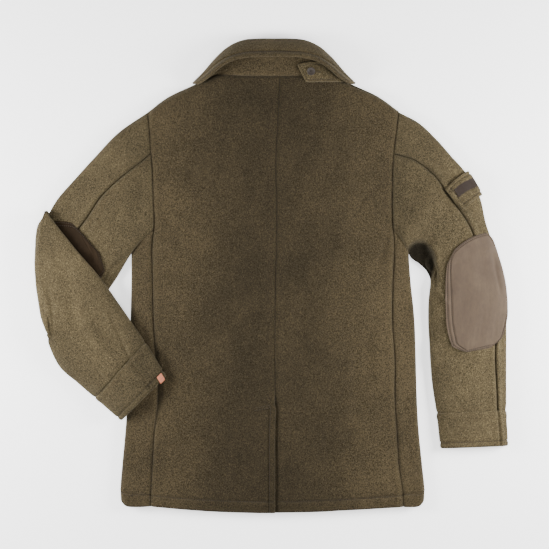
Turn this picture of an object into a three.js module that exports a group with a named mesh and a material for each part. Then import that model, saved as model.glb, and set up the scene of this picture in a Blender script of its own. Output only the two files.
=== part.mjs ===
// Pea coat laid face down: heavy wool walls, one solid for each piece that is cut and sewn on.
// Millimetres, +Z up. The fronts lie on z = 0, the hem is towards -Y and the left sleeve towards -X.
// The origin is under the middle of the coat.
import * as THREE from 'three';

// Driving sizes
const CLOTH = 2.8;
const SEAM = 0.3;
const EDGE_HALF = 8;
const EDGE_RUN = 16;
const BODY_CROWN = 11;
const MIDDLE_X = 2.5;
const NECK_Y = 360;
const SHOULDER_Y = 300;
const ARMPIT_Y = 44.5;
const ARMHOLE_FOOT = 41;
const HEM_Y = -423;
const HEM_RISE = 14;
const HEM_CORNER = 12;
const NECK_HALF = 103;
const OVERLAP_HALF = 85;
const VENT_TOP_Y = -229;
const VENT_UNDERLAP = 38;
const VENT_SPACE = 1.2;

// The underlap folds in at this distance past the centre line, and takes this share of the columns
const VENT_LINE = 3;
const VENT_SHARE = 0.12;
const VENT_SLOPE = { start: 10, run: 9, above: 24 };

// Width of the body at each level, with its two side seams and its centre seam.
// From the armpits up, the seam columns are the armholes.
const BODY = [
  { y: -423, leftEdge: -269, leftSeam: -217, centre: 2.5, rightSeam: 233, rightEdge: 269 },
  { y: -381, leftEdge: -271.5, leftSeam: -216.5, centre: 2.5, rightSeam: 232, rightEdge: 271.5 },
  { y: -345, leftEdge: -269, leftSeam: -214.5, centre: 2.5, rightSeam: 226, rightEdge: 268 },
  { y: -274, leftEdge: -262.5, leftSeam: -210, centre: 2.5, rightSeam: 221.5, rightEdge: 261 },
  { y: -220, leftEdge: -259, leftSeam: -203, centre: 4.5, rightSeam: 218, rightEdge: 258 },
  { y: -150, leftEdge: -256.5, leftSeam: -207.5, centre: 4.5, rightSeam: 218, rightEdge: 256 },
  { y: -78, leftEdge: -253.5, leftSeam: -212, centre: 4.5, rightSeam: 213.5, rightEdge: 253.5 },
  { y: -7, leftEdge: -252, leftSeam: -213.5, centre: 5.5, rightSeam: 214.5, rightEdge: 246.5 },
  { y: 45, leftEdge: -252, leftSeam: -214.5, centre: 7, rightSeam: 217, rightEdge: 243 },
  { y: 86, leftEdge: -252, leftSeam: -212.5, centre: 7.5, rightSeam: 216, rightEdge: 243 },
  { y: 136, leftEdge: -252, leftSeam: -213.5, centre: 7, rightSeam: 214.5, rightEdge: 243 },
  { y: 210, leftEdge: -252, leftSeam: -217, centre: 6, rightSeam: 216.5, rightEdge: 243 },
  { y: 292.5, leftEdge: -252, leftSeam: -223.5, centre: 10.5, rightSeam: 226, rightEdge: 243 },
  { y: 360, leftEdge: -252, leftSeam: -223.5, centre: 13.5, rightSeam: 226, rightEdge: 243 },
];

// Top edge of the back, by distance from the middle: neck seam, neck point, shoulder and sleeve head
const BACK_TOP = [
  { out: 0, y: 356.5 },
  { out: 50, y: 356.5 },
  { out: 88, y: 358.5 },
  { out: 103, y: 359 },
  { out: 124, y: 350 },
  { out: 146, y: 340 },
  { out: 186, y: 321 },
  { out: 226, y: 292.5 },
];

// How far the fronts' neckline lies below the back's, by distance across from the neck point
const FRONT_NECK_DROP = 58;

// Height that the back gains over its folded edges, by level
const CROWN = [
  { y: -423, crown: 0.12 },
  { y: -330, crown: 0.7 },
  { y: -200, crown: 1 },
  { y: 200, crown: 1 },
  { y: 360, crown: 0.5 },
];

// Largest soft folds of the back: a ridge or a trough along a line, with its half-width and height
const BACK_FOLDS = [
  { fromX: -150, fromY: 250, toX: -165, toY: 60, half: 26, height: -2.6 },
  { fromX: -70, fromY: 90, toX: -40, toY: -40, half: 24, height: -2.4 },
  { fromX: -120, fromY: 60, toX: -70, toY: -190, half: 28, height: 2.2 },
  { fromX: 150, fromY: 230, toX: 170, toY: 40, half: 26, height: -2.4 },
  { fromX: 85, fromY: 40, toX: 110, toY: -200, half: 30, height: 2.4 },
  { fromX: 150, fromY: -60, toX: 165, toY: -260, half: 24, height: -2.2 },
  { fromX: -150, fromY: -230, toX: -140, toY: -400, half: 26, height: -2 },
];

// A sleeve is a flat tube. Its rows give its outer and inner edge, its half thickness there, the crown
// on its back and front sides, the height of its lower face at both edges, how sharply that falls, the
// back seam as a share of the width from the outer edge, and the way that it has turned at the elbow.
// The tube in most rows lies on the floor with its back up.
const FLAT_TUBE = { half: 8, back: 0, front: 0, low: 0, innerLow: 0, sag: 1, turn: -90 };

// Right sleeve, from the armhole to the cuff's end
const RIGHT_SLEEVE = [
  { row: 0, outerX: 226, outerY: 292.5, innerX: 243, innerY: 45, back: 3, seam: 0.3 },
  { row: 1, outerX: 262.5, outerY: 272.5, innerX: 248.5, innerY: 32, back: 8, seam: 0.27 },
  { row: 2, outerX: 294.5, outerY: 242, innerX: 262.5, innerY: 21.5, back: 11, seam: 0.27 },
  { row: 3, outerX: 319.5, outerY: 213.5, innerX: 275, innerY: 9, back: 12, seam: 0.29 },
  { row: 4, outerX: 344.5, outerY: 185, innerX: 282, innerY: -7, back: 12, seam: 0.3 },
  { row: 5, outerX: 369.5, outerY: 142.5, innerX: 280.5, innerY: -28.5, back: 12, seam: 0.26 },
  { row: 6, outerX: 382, outerY: 91, innerX: 278.5, innerY: -51.5, back: 12, seam: 0.19 },
  { row: 7, outerX: 403, outerY: 30.5, innerX: 278.5, innerY: -87, back: 12, seam: 0.17 },
  { row: 8, outerX: 415.5, outerY: -25, innerX: 280.5, innerY: -123, back: 12, seam: 0.16 },
  { row: 9, outerX: 417.5, outerY: -87, innerX: 282, innerY: -153, back: 11, seam: 0.15 },
  { row: 10, outerX: 417.5, outerY: -149.5, innerX: 285.5, innerY: -194, back: 10, seam: 0.15 },
  { row: 11, outerX: 417.5, outerY: -238.5, innerX: 293, innerY: -244, back: 9, seam: 0.13 },
  { row: 12, outerX: 419, outerY: -271, innerX: 296.5, innerY: -276, back: 8, seam: 0.12 },
  { row: 13, outerX: 421, outerY: -303, innerX: 300, innerY: -308, back: 7, seam: 0.12 },
];

// Fold of the left sleeve at the elbow: half thickness of the tube there, space between its two
// layers, the line that it turns about, how far that line's inner end slides through the turn, and
// how far its middle bows out
const FOLD_HALF = 7;
const FOLD_SPACE = 4.4;
const FOLD_LINE = { outerX: -389, outerY: 116, innerX: -383, innerY: -92 };
const FOLD_SLIDE = { x: -11, y: -14 };
const FOLD_BOW = 13;
const FOLD_STEPS = 4;
const FOLD_ROW = 5;

// Left sleeve above the fold
const LEFT_UPPER = [
  { row: 0, outerX: -223.5, outerY: 292.5, innerX: -252, innerY: 45, back: 3, seam: 0.3 },
  { row: 1, outerX: -275, outerY: 256.5, innerX: -262.5, innerY: 25, back: 8, seam: 0.32 },
  { row: 2, outerX: -316, outerY: 213.5, innerX: -285.5, innerY: -14, back: 8, seam: 0.32 },
  { row: 3, outerX: -350, outerY: 176, innerX: -314, innerY: -48, back: 5, seam: 0.36 },
  { row: 4, outerX: -377, outerY: 141, innerX: -357, innerY: -76.5, half: 7.5, back: 1.5, seam: 0.38 },
];

// Left sleeve below the fold, where its front side is up and it lies on the upper arm and the body
const LEFT_LOWER = [
  { row: 10, outerX: -346, outerY: 46.5, innerX: -399, innerY: -119.5,
    half: 7.5, front: 4, low: 22, innerLow: 11, sag: 3, seam: 0.4 },
  { row: 11, outerX: -307, outerY: -2, innerX: -380, innerY: -162,
    front: 8, low: 20, innerLow: 1, sag: 2, seam: 0.4 },
  { row: 12, outerX: -268, outerY: -57, innerX: -348, innerY: -190.5,
    front: 10, low: 17, innerLow: 0, sag: 1.6, seam: 0.36 },
  { row: 13, outerX: -230, outerY: -112, innerX: -321.5, innerY: -213.5,
    front: 10, low: 21, innerLow: 0, sag: 1.6, seam: 0.32 },
  { row: 14, outerX: -209, outerY: -144, innerX: -294.5, innerY: -236.5,
    front: 9, low: 22.5, innerLow: 5, sag: 2.4, seam: 0.3 },
  { row: 15, outerX: -188.5, outerY: -178, innerX: -269.5, innerY: -258,
    front: 8, low: 23, innerLow: 9, sag: 4, seam: 0.3 },
];

const RIGHT_CUFF_ROW = 11;
const LEFT_CUFF_ROW = 13.15;

// Rows over which a sleeve takes the armhole's shape, and how full its edges roll
const HEAD_FADE_ROWS = 2.2;
const ROLL_GAIN = 1.15;
const ROLL_POWER = 0.35;

// Elbow patches, strap and label, by step along the sleeve: the sleeve's row and the angle round the
// tube at both ends of the step. 0 is the outer edge, 90 the middle of the back, 180 the inner edge.
const RIGHT_PATCH = [
  { step: 0, fromRow: 6.05, from: 30, toRow: 5.25, to: 92 },
  { step: 1, fromRow: 6.3, from: 8, toRow: 5.2, to: 108 },
  { step: 2, fromRow: 6.8, from: -6, toRow: 5.95, to: 118 },
  { step: 3, fromRow: 7.7, from: -10, toRow: 6.9, to: 120 },
  { step: 4, fromRow: 8.6, from: -10, toRow: 7.8, to: 119 },
  { step: 5, fromRow: 9.2, from: -2, toRow: 8.6, to: 112 },
  { step: 6, fromRow: 9.6, from: 20, toRow: 9, to: 98 },
  { step: 7, fromRow: 9.75, from: 36, toRow: 9.25, to: 84 },
];
const LEFT_PATCH = [
  { step: 0, fromRow: 2.45, from: 103, toRow: 2.25, to: 126 },
  { step: 1, fromRow: 2.85, from: 86, toRow: 2.4, to: 137 },
  { step: 2, fromRow: 3.5, from: 61, toRow: 3, to: 127 },
  { step: 3, fromRow: 4.2, from: 50, toRow: 3.9, to: 120 },
  { step: 4, fromRow: 4.95, from: 38, toRow: 4.95, to: 116 },
];
const STRAP = [
  { step: 0, fromRow: 4, from: -4, toRow: 3, to: 66 },
  { step: 1, fromRow: 4.5, from: -4, toRow: 3.75, to: 66 },
  { step: 2, fromRow: 5, from: -4, toRow: 4.5, to: 62 },
];
const LABEL = [
  { step: 0, fromRow: 4.32, from: 6, toRow: 3.55, to: 58 },
  { step: 1, fromRow: 4.66, from: 6, toRow: 4.02, to: 58 },
];

// Thickness of what is sewn on a sleeve, how far its back is from the sleeve's cloth, and whether it
// runs straight across the flat sleeve
const PATCH_FIT = { thickness: 1.1, seat: 0.8 };
const STRAP_FIT = { thickness: 3.6, seat: 0.6, straight: true };
const LABEL_FIT = { thickness: 0.7, seat: 4.8, straight: true };

// Collar by station outwards from the middle: neck seam, roll line and edge of the fall
const COLLAR = [
  { out: 0, seamX: 0, seamY: 357.3, seamZ: 21,
    rollX: 0, rollY: 423, rollZ: 21, edgeX: 0, edgeY: 389, edgeZ: 47 },
  { out: 1, seamX: 25, seamY: 357.3, seamZ: 21,
    rollX: 26.5, rollY: 423, rollZ: 21, edgeX: 26.5, edgeY: 388.5, edgeZ: 47 },
  { out: 2, seamX: 50, seamY: 358, seamZ: 21,
    rollX: 55, rollY: 420.5, rollZ: 21, edgeX: 53, edgeY: 386.5, edgeZ: 48 },
  { out: 3, seamX: 71, seamY: 359.2, seamZ: 20,
    rollX: 81, rollY: 409, rollZ: 21, edgeX: 77, edgeY: 380, edgeZ: 48 },
  { out: 4, seamX: 88, seamY: 360.8, seamZ: 16,
    rollX: 104, rollY: 389, rollZ: 20, edgeX: 98, edgeY: 368, edgeZ: 46 },
  { out: 5, seamX: 100, seamY: 363, seamZ: 12,
    rollX: 126, rollY: 364, rollZ: 17, edgeX: 118, edgeY: 354, edgeZ: 40 },
  { out: 6, seamX: 110, seamY: 360, seamZ: 10,
    rollX: 146, rollY: 344.5, rollZ: 12, edgeX: 138, edgeY: 345, edgeZ: 30 },
];
const STAND_END = 4;
const COLLAR_END = 6;
const ROLL_RADIUS = 5.5;
const COLLAR_JOIN = 11;

// Throat tab on the collar stand, with its button
const TAB_OUTLINE = [[43.5, 377], [66, 382], [96, 380.5], [128, 345.5], [59, 345]];
const TAB_CLOTH = 3;
const TAB_Z = 21.7;
const TAB_CORNER = 4;
const TAB_BUTTON = { x: 68.5, y: 364, radius: 7.2, height: 3 };

// Six plain buttons of the double-breasted front, and the lapels, on the underside
const FRONT_BUTTON = { radius: 11, height: 3.4, columnX: 62, rowsY: [165, 50, -65] };
const BUTTON_DIMPLE = { flat: 27, reach: 58, height: 4.2 };
const LAPEL_LEAF = [[97, 349], [132, 333], [150, 296], [92, 197], [8, 268], [14, 300], [50, 316]];
const LAPEL_REACH = 34;
const LAPEL_MARGIN = 24;
const LAYER_SPACE = 2.8;

// Leather tag that wraps the left cuff's edge
const TAG = { fromAngle: -24, toAngle: -43, outside: 11, inside: 6, thickness: 1.2, clearance: 0.5 };

const BUTTON_SIDES = 14;

const WOOL = { color: 0x5e5238, roughness: 0.95 };
const PATCH = { color: 0x7d6c5a, roughness: 0.85 };
const LABEL_FINISH = { color: 0x5a4b41, roughness: 0.8 };
const TAG_LEATHER = { color: 0xc8785f, roughness: 0.6 };
const HORN = { color: 0x2e2822, roughness: 0.45 };

const clamp = THREE.MathUtils.clamp;
const mix = THREE.MathUtils.lerp;
const radians = THREE.MathUtils.degToRad;
const smooth = (t) => THREE.MathUtils.smoothstep(t, 0, 1);

// Value of one column of a table at a place between its rows, on a smooth curve
function tableValue(table, key, at, column) {
  const last = table.length - 1;
  let i = 0;
  while (i < last - 1 && table[i + 1][key] < at) i += 1;
  const low = table[i];
  const high = table[i + 1];
  const span = high[key] - low[key];
  const t = clamp((at - low[key]) / span, 0, 1);
  const slope = (a, b) => (table[b][column] - table[a][column]) / (table[b][key] - table[a][key]);
  const start = slope(Math.max(i - 1, 0), i + 1) * span;
  const end = slope(i, Math.min(i + 2, last)) * span;
  const square = t * t;
  const cube = square * t;
  return (2 * cube - 3 * square + 1) * low[column] + (cube - 2 * square + t) * start
    + (3 * square - 2 * cube) * high[column] + (cube - square) * end;
}

// Even steps from 0 to 1
function steps(count) {
  return Array.from({ length: count + 1 }, (_, i) => i / count);
}

// Direction that a surface faces at a place on it
function facingNormal(surface, u, v, facing) {
  const reach = 0.002;
  const alongU = surface(u + reach, v).sub(surface(u - reach, v));
  const alongV = surface(u, v + reach).sub(surface(u, v - reach));
  return alongU.cross(alongV).normalize().multiplyScalar(facing);
}

// A closed cloth wall. surface(u, v) gives its outer face, and the inner face lies behind that by
// the cloth's thickness along the normal. A ring joins its last column to its first.
function clothWall(surface, us, vs, thickness, facing, options = {}) {
  const { ring = false, limit = (point) => point } = options;
  const { normalAt = (u, v) => facingNormal(surface, u, v, facing) } = options;
  const columns = us.length;
  const points = [];
  const inner = [];
  for (const v of vs) {
    for (const u of us) {
      const outer = surface(u, v);
      points.push(outer);
      inner.push(limit(outer.clone().addScaledVector(normalAt(u, v), -thickness)));
    }
  }
  const count = points.length;
  const faces = [];
  const quad = (a, b, c, d) => faces.push(a, b, c, a, c, d);
  const spans = ring ? columns : columns - 1;
  for (let j = 0; j < vs.length - 1; j += 1) {
    for (let i = 0; i < spans; i += 1) {
      const a = j * columns + i;
      const b = j * columns + (i + 1) % columns;
      quad(a, b, b + columns, a + columns);
      quad(count + a, count + a + columns, count + b + columns, count + b);
    }
  }
  const top = (vs.length - 1) * columns;
  for (let i = 0; i < spans; i += 1) {
    const next = (i + 1) % columns;
    quad(next, i, count + i, count + next);
    quad(top + i, top + next, count + top + next, count + top + i);
  }
  for (let j = 0; j < vs.length - 1 && !ring; j += 1) {
    const a = j * columns;
    const b = a + columns - 1;
    quad(a, a + columns, count + a + columns, count + a);
    quad(b + columns, b, count + b, count + b + columns);
  }
  return solid([...points, ...inner], faces, facing);
}

function solid(points, faces, facing) {
  const geometry = new THREE.BufferGeometry();
  const ordered = [];
  for (let i = 0; i < faces.length; i += 3) {
    const [a, b, c] = [faces[i], faces[i + 1], faces[i + 2]];
    ordered.push(a, facing > 0 ? b : c, facing > 0 ? c : b);
  }
  geometry.setAttribute('position', new THREE.Float32BufferAttribute(points.flatMap((p) => p.toArray()), 3));
  geometry.setIndex(ordered);
  geometry.computeVertexNormals();
  return geometry;
}

function piece(name, geometry, finish) {
  const mesh = new THREE.Mesh(geometry, new THREE.MeshStandardMaterial({ metalness: 0, ...finish }));
  mesh.name = name;
  return mesh;
}

// Side of the coat: its table columns and the way to its outer edge
const LEFT = { edge: 'leftEdge', seam: 'leftSeam', sign: -1 };
const RIGHT = { edge: 'rightEdge', seam: 'rightSeam', sign: 1 };

const bodyAt = (y, column) => tableValue(BODY, 'y', y, column);

// Share of the full height at a distance in from a folded edge
function edgeShare(distance) {
  const t = 1 - clamp(distance / EDGE_RUN, 0, 1);
  return Math.sqrt(1 - t * t);
}

function foldHeight(folds, x, y) {
  let height = 0;
  for (const fold of folds) {
    const alongX = fold.toX - fold.fromX;
    const alongY = fold.toY - fold.fromY;
    const length = Math.hypot(alongX, alongY);
    const along = ((x - fold.fromX) * alongX + (y - fold.fromY) * alongY) / (length * length);
    const across = ((x - fold.fromX) * alongY - (y - fold.fromY) * alongX) / length;
    const taper = smooth(along / 0.3) * smooth((1 - along) / 0.3);
    height += fold.height * taper * Math.exp(-((across / fold.half) ** 2));
  }
  return height;
}

const backTopY = (x) => tableValue(BACK_TOP, 'out', Math.min(Math.abs(x - MIDDLE_X), 226), 'y');

// Share of the full height near the shoulder edge, which the neckline doesn't have
function shoulderShare(x, y) {
  const out = Math.abs(x - MIDDLE_X);
  const neck = 1 - smooth((out - NECK_HALF + 14) / 18);
  return mix(edgeShare((backTopY(x) - y) * 0.85), 1, neck);
}

// Height of the back's outer face
function backHeight(x, y) {
  const side = x < MIDDLE_X ? LEFT : RIGHT;
  const edge = bodyAt(y, side.edge);
  const share = clamp((x - MIDDLE_X) / (edge - MIDDLE_X), 0, 1);
  const crown = BODY_CROWN * tableValue(CROWN, 'y', y, 'crown') * (1 - share * share);
  const full = 2 * EDGE_HALF + crown + foldHeight(BACK_FOLDS, x, y);
  const roll = edgeShare(Math.abs(edge - x)) * shoulderShare(x, y);
  return EDGE_HALF + (full - EDGE_HALF) * roll;
}

const hemY = (x) => HEM_Y + HEM_RISE * ((x - MIDDLE_X) / 250) ** 2;

// Rows of the body from hem to armhole foot, with some at the vent's top, and on up to the shoulder,
// closer together where the shoulder edge rolls over
const FOOT_Y = ARMPIT_Y + ARMHOLE_FOOT;
const VENT_ROWS = [VENT_TOP_Y - 9, VENT_TOP_Y, VENT_TOP_Y + VENT_SLOPE.above]
  .map((y) => (y - HEM_Y) / (FOOT_Y - HEM_Y));
const LOWER_ROWS = [0, 0.09, 0.18, 0.27, ...VENT_ROWS, 0.5, 0.58, 0.66, 0.74, 0.82, 0.91, 1];
const UPPER_ROWS = [0.14, 0.28, 0.42, 0.56, 0.7, 0.82, 0.9, 0.95, 0.985, 1];
const BODY_ROWS = [...LOWER_ROWS, ...UPPER_ROWS.map((t) => 1 + t)];
const bodyRowY = (hem, top, row) => (row <= 1 ? mix(hem, FOOT_Y, row) : mix(FOOT_Y, top, row - 1));

// One half of the back, from the centre seam to the side seam and armhole
function backPanel(side, centreShift, underlap) {
  const surface = (u, v) => {
    const tipX = bodyAt(SHOULDER_Y, side.seam);
    const topX = mix(bodyAt(NECK_Y, 'centre'), tipX, u);
    const y = bodyRowY(hemY(topX), backTopY(topX) - SEAM / 2, v);
    const centre = bodyAt(y, 'centre') + centreShift;
    const seam = bodyAt(y, side.seam) - side.sign * SEAM / 2;
    const plainX = mix(centre, seam, u);
    if (!underlap) return new THREE.Vector3(plainX, y, backHeight(plainX, y));
    const free = centre - VENT_UNDERLAP * smooth((VENT_TOP_Y - y) / 8);
    const fold = centre + VENT_LINE;
    const x = u < VENT_SHARE ? mix(free, fold, u / VENT_SHARE)
      : mix(fold, seam, (u - VENT_SHARE) / (1 - VENT_SHARE));
    const sunk = smooth((fold + VENT_SLOPE.start - x) / VENT_SLOPE.run)
      * smooth((VENT_TOP_Y + VENT_SLOPE.above - y) / (VENT_SLOPE.above - 1));
    return new THREE.Vector3(x, y, backHeight(x, y) - (CLOTH + VENT_SPACE) * sunk);
  };
  const folded = [0, VENT_SHARE / 2, VENT_SHARE, VENT_SHARE + 0.05];
  const columns = underlap ? [...folded, ...steps(8).map((t) => mix(VENT_SHARE + 0.11, 1, t))] : steps(11);
  const aboveFront = (point) => point.setZ(Math.max(point.z, EDGE_HALF + SEAM / 2));
  return clothWall(surface, columns, BODY_ROWS, CLOTH, side.sign, { limit: aboveFront });
}

// Armhole's lower end, as a height over the armpit by distance in from the side edge
const footWidth = (side) => Math.abs(bodyAt(FOOT_Y, side.edge) - bodyAt(FOOT_Y, side.seam));
const armholeFoot = (side, distance) => ARMPIT_Y + ARMHOLE_FOOT * (distance / footWidth(side));

// One side panel: from the side seam on the back, over the side edge to the same line underneath.
// Its columns are even, with two on each flat side of the turn.
const SIDE_COLUMNS = 9;
function sidePanel(side) {
  const surface = (w, v) => {
    const turnStart = 2 / SIDE_COLUMNS;
    const turnEnd = 1 - turnStart;
    const angle = mix(90, -90, clamp((w - turnStart) / (turnEnd - turnStart), 0, 1));
    const flat = w < turnStart ? 1 - w / turnStart : Math.max(0, (w - turnEnd) / (1 - turnEnd));
    const seamHem = hemY(bodyAt(SHOULDER_Y, side.seam));
    const yMiddle = mix(seamHem, ARMPIT_Y, v);
    const width = Math.abs(bodyAt(yMiddle, side.edge) - bodyAt(yMiddle, side.seam)) - SEAM / 2;
    const inset = EDGE_RUN * (1 - Math.cos(radians(angle))) + flat * (width - EDGE_RUN);
    const low = seamHem + HEM_CORNER * (1 - edgeShare(inset));
    const top = flat === 1 ? FOOT_Y : Math.min(armholeFoot(side, inset), FOOT_Y);
    const y = mix(low, top - SEAM / 2, v);
    const edge = bodyAt(y, side.edge);
    const seam = bodyAt(y, side.seam) + side.sign * SEAM / 2;
    const run = Math.abs(edge - seam);
    const distance = Math.min(EDGE_RUN * (1 - Math.cos(radians(angle))) + flat * (run - EDGE_RUN), run);
    const x = edge - side.sign * distance;
    const full = backHeight(edge - side.sign * Math.max(distance, EDGE_RUN), y);
    const z = angle >= 0 ? mix(EDGE_HALF, full, Math.sin(radians(angle)))
      : EDGE_HALF * (1 + Math.sin(radians(angle)));
    return new THREE.Vector3(x, y, z);
  };
  return clothWall(surface, steps(SIDE_COLUMNS), LOWER_ROWS, CLOTH, side.sign);
}

// How far the buttons and lapels underneath lift the fronts
function frontLift(x, y) {
  let lift = 0;
  for (const rowY of FRONT_BUTTON.rowsY) {
    for (const sign of [-1, 1]) {
      const away = Math.hypot(x - sign * FRONT_BUTTON.columnX, y - rowY);
      const reach = BUTTON_DIMPLE.reach - BUTTON_DIMPLE.flat;
      lift = Math.max(lift, BUTTON_DIMPLE.height * smooth((BUTTON_DIMPLE.reach - away) / reach));
    }
  }
  const lapelLift = CLOTH + 0.5;
  return Math.max(lift, lapelLift * smooth(1 - lapelDistance(Math.abs(x), y) / LAPEL_REACH));
}

// Distance outside the lapel's outline, or 0 within it and its margin
function lapelDistance(x, y) {
  let inside = false;
  let nearest = Infinity;
  LAPEL_LEAF.forEach(([ax, ay], i) => {
    const [bx, by] = LAPEL_LEAF[(i + 1) % LAPEL_LEAF.length];
    if ((ay > y) !== (by > y) && x < ax + ((y - ay) * (bx - ax)) / (by - ay)) inside = !inside;
    const t = clamp(((x - ax) * (bx - ax) + (y - ay) * (by - ay)) / ((bx - ax) ** 2 + (by - ay) ** 2), 0, 1);
    nearest = Math.min(nearest, Math.hypot(x - mix(ax, bx, t), y - mix(ay, by, t)));
  });
  return inside ? 0 : Math.max(0, nearest - LAPEL_MARGIN);
}

// One front, on the floor. The left front crosses the middle under the right one.
function frontPanel(side, layer) {
  const inner = -side.sign * OVERLAP_HALF;
  const surface = (u, v) => {
    const topX = mix(inner, bodyAt(SHOULDER_Y, side.seam), u);
    const neckward = clamp((NECK_HALF - side.sign * (topX - MIDDLE_X)) / 100, 0, 1);
    const shoulderX = side.sign * Math.max(side.sign * (topX - MIDDLE_X), NECK_HALF);
    const topY = backTopY(MIDDLE_X + shoulderX);
    const y = bodyRowY(hemY(topX), topY - FRONT_NECK_DROP * smooth(neckward) - SEAM / 2, v);
    const x = mix(inner, bodyAt(y, side.seam) - side.sign * SEAM / 2, u);
    const over = layer * (CLOTH + LAYER_SPACE) * smooth((OVERLAP_HALF + 34 - side.sign * x) / 28);
    const roll = side.sign * (x - MIDDLE_X) > NECK_HALF - 14 ? shoulderShare(x, y) : 1;
    const rise = (EDGE_HALF - 2.4) * (1 - roll);
    return new THREE.Vector3(x, y, Math.max(frontLift(x, y) + over, rise));
  };
  return clothWall(surface, steps(11), BODY_ROWS, CLOTH, -side.sign);
}

// Rows of the left sleeve: upper arm, turn at the elbow, forearm
function leftSleeveRows() {
  const turns = steps(FOLD_STEPS).map((t, i) => {
    const turn = mix(-90, 90, t);
    const axis = 2 * FOLD_HALF + FOLD_SPACE / 2;
    const middle = axis + (FOLD_HALF + FOLD_SPACE / 2) * Math.sin(radians(turn));
    const low = middle - FOLD_HALF;
    const innerX = FOLD_LINE.innerX + FOLD_SLIDE.x * t;
    const innerY = FOLD_LINE.innerY + FOLD_SLIDE.y * t;
    const height = { half: FOLD_HALF, low, innerLow: low, sag: 3 };
    return { row: FOLD_ROW + i, ...FOLD_LINE, innerX, innerY, ...height, seam: 0.4, turn };
  });
  return [...LEFT_UPPER, ...turns, ...LEFT_LOWER.map((row) => ({ ...row, turn: 90 }))];
}

const onFloor = (rows) => rows.map((row) => ({ ...FLAT_TUBE, ...row }));
const SLEEVES = {
  left: { side: LEFT, rows: onFloor(leftSleeveRows()), cuffRow: LEFT_CUFF_ROW, endRow: 15 },
  right: { side: RIGHT, rows: onFloor(RIGHT_SLEEVE), cuffRow: RIGHT_CUFF_ROW, endRow: 13 },
};

// A point of a sleeve's flat tube, before it is joined to the armhole
function tubePoint(sleeve, row, angle) {
  const at = (column) => tableValue(sleeve.rows, 'row', row, column);
  const u = Math.cos(radians(angle));
  const share = (1 - u) / 2;
  const sine = Math.sin(radians(angle));
  const roll = Math.min(1, ROLL_GAIN * Math.abs(sine) ** ROLL_POWER);
  const crown = (sine > 0 ? at('back') : at('front')) * sine * sine;
  const offset = Math.sign(sine) * (at('half') * roll + crown);
  const turn = radians(at('turn'));
  const bend = Math.max(0, Math.cos(turn));
  const middle = at('half') + mix(at('low'), at('innerLow'), share ** at('sag'));
  const out = (FOLD_HALF + FOLD_SPACE / 2) * bend + FOLD_BOW * foldNearness(sleeve, row) * (1 - u * u);
  return new THREE.Vector3(
    mix(at('outerX'), at('innerX'), share) + sleeve.side.sign * (out - offset * bend),
    mix(at('outerY'), at('innerY'), share),
    middle - offset * Math.sin(turn),
  );
}

// 1 at the elbow fold of the left sleeve, fading away from it
function foldNearness(sleeve, row) {
  if (sleeve.side === RIGHT) return 0;
  const away = Math.max(FOLD_ROW - row, row - FOLD_ROW - FOLD_STEPS, 0);
  return smooth(1 - away / 1.6);
}

// Where a sleeve's first ring meets the body
function headPoint(sleeve, angle) {
  const first = sleeve.rows[0];
  const share = (1 - Math.cos(radians(angle))) / 2;
  const y = mix(first.outerY, first.innerY, share);
  const { side } = sleeve;
  const rise = clamp((y - ARMPIT_Y) / ARMHOLE_FOOT, 0, 1);
  const edge = bodyAt(y, side.edge);
  const seam = bodyAt(y, side.seam);
  const foot = edge - side.sign * footWidth(side) * rise;
  const x = rise < 1 && side.sign * (foot - seam) > 0 ? foot : seam;
  const top = backHeight(x, y);
  const lowered = Math.min(1, (top - EDGE_HALF) / EDGE_HALF);
  const z = Math.sin(radians(angle)) >= 0 ? top : EDGE_HALF * (1 - lowered);
  return new THREE.Vector3(x + side.sign * 2.5 * SEAM, y, z);
}

// A point of a sleeve's outer face, by row and angle round the tube
function sleevePoint(sleeve, row, angle) {
  const point = tubePoint(sleeve, row, angle);
  const fade = 1 - smooth(Math.max(row, 0) / HEAD_FADE_ROWS);
  if (fade > 0) {
    const shift = headPoint(sleeve, angle).sub(tubePoint(sleeve, 0, angle));
    point.addScaledVector(shift, fade);
  }
  point.z = Math.max(point.z, 0);
  return point;
}

// Way out of a sleeve's tube
function tubeNormal(sleeve, row, angle) {
  const surface = (turn, along) => tubePoint(sleeve, along, turn * 360);
  return facingNormal(surface, angle / 360, row, sleeve.side.sign);
}

const seamAngle = (sleeve, row) => {
  const share = tableValue(sleeve.rows, 'row', row, 'seam');
  return THREE.MathUtils.radToDeg(Math.acos(1 - 2 * share));
};

// Half a seam's clearance, as an angle round the tube, at the back and at the inner edge
const SEAM_ANGLE = 0.35;
const EDGE_SEAM_ANGLE = 0.08;

// Angles round the top sleeve up to where its even columns to the back seam start, and round the
// under sleeve from where its own even columns end. They are closer together at the edges.
const TOP_ANGLES = [-172, -161, -146, -128, -108, -88, -68, -48, -32, -19, -8, 0, 8, 19];
const TOP_SEAM_COLUMNS = 3;
const UNDER_SEAM_COLUMNS = 7;
const UNDER_ANGLES = [146, 161, 172];

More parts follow.
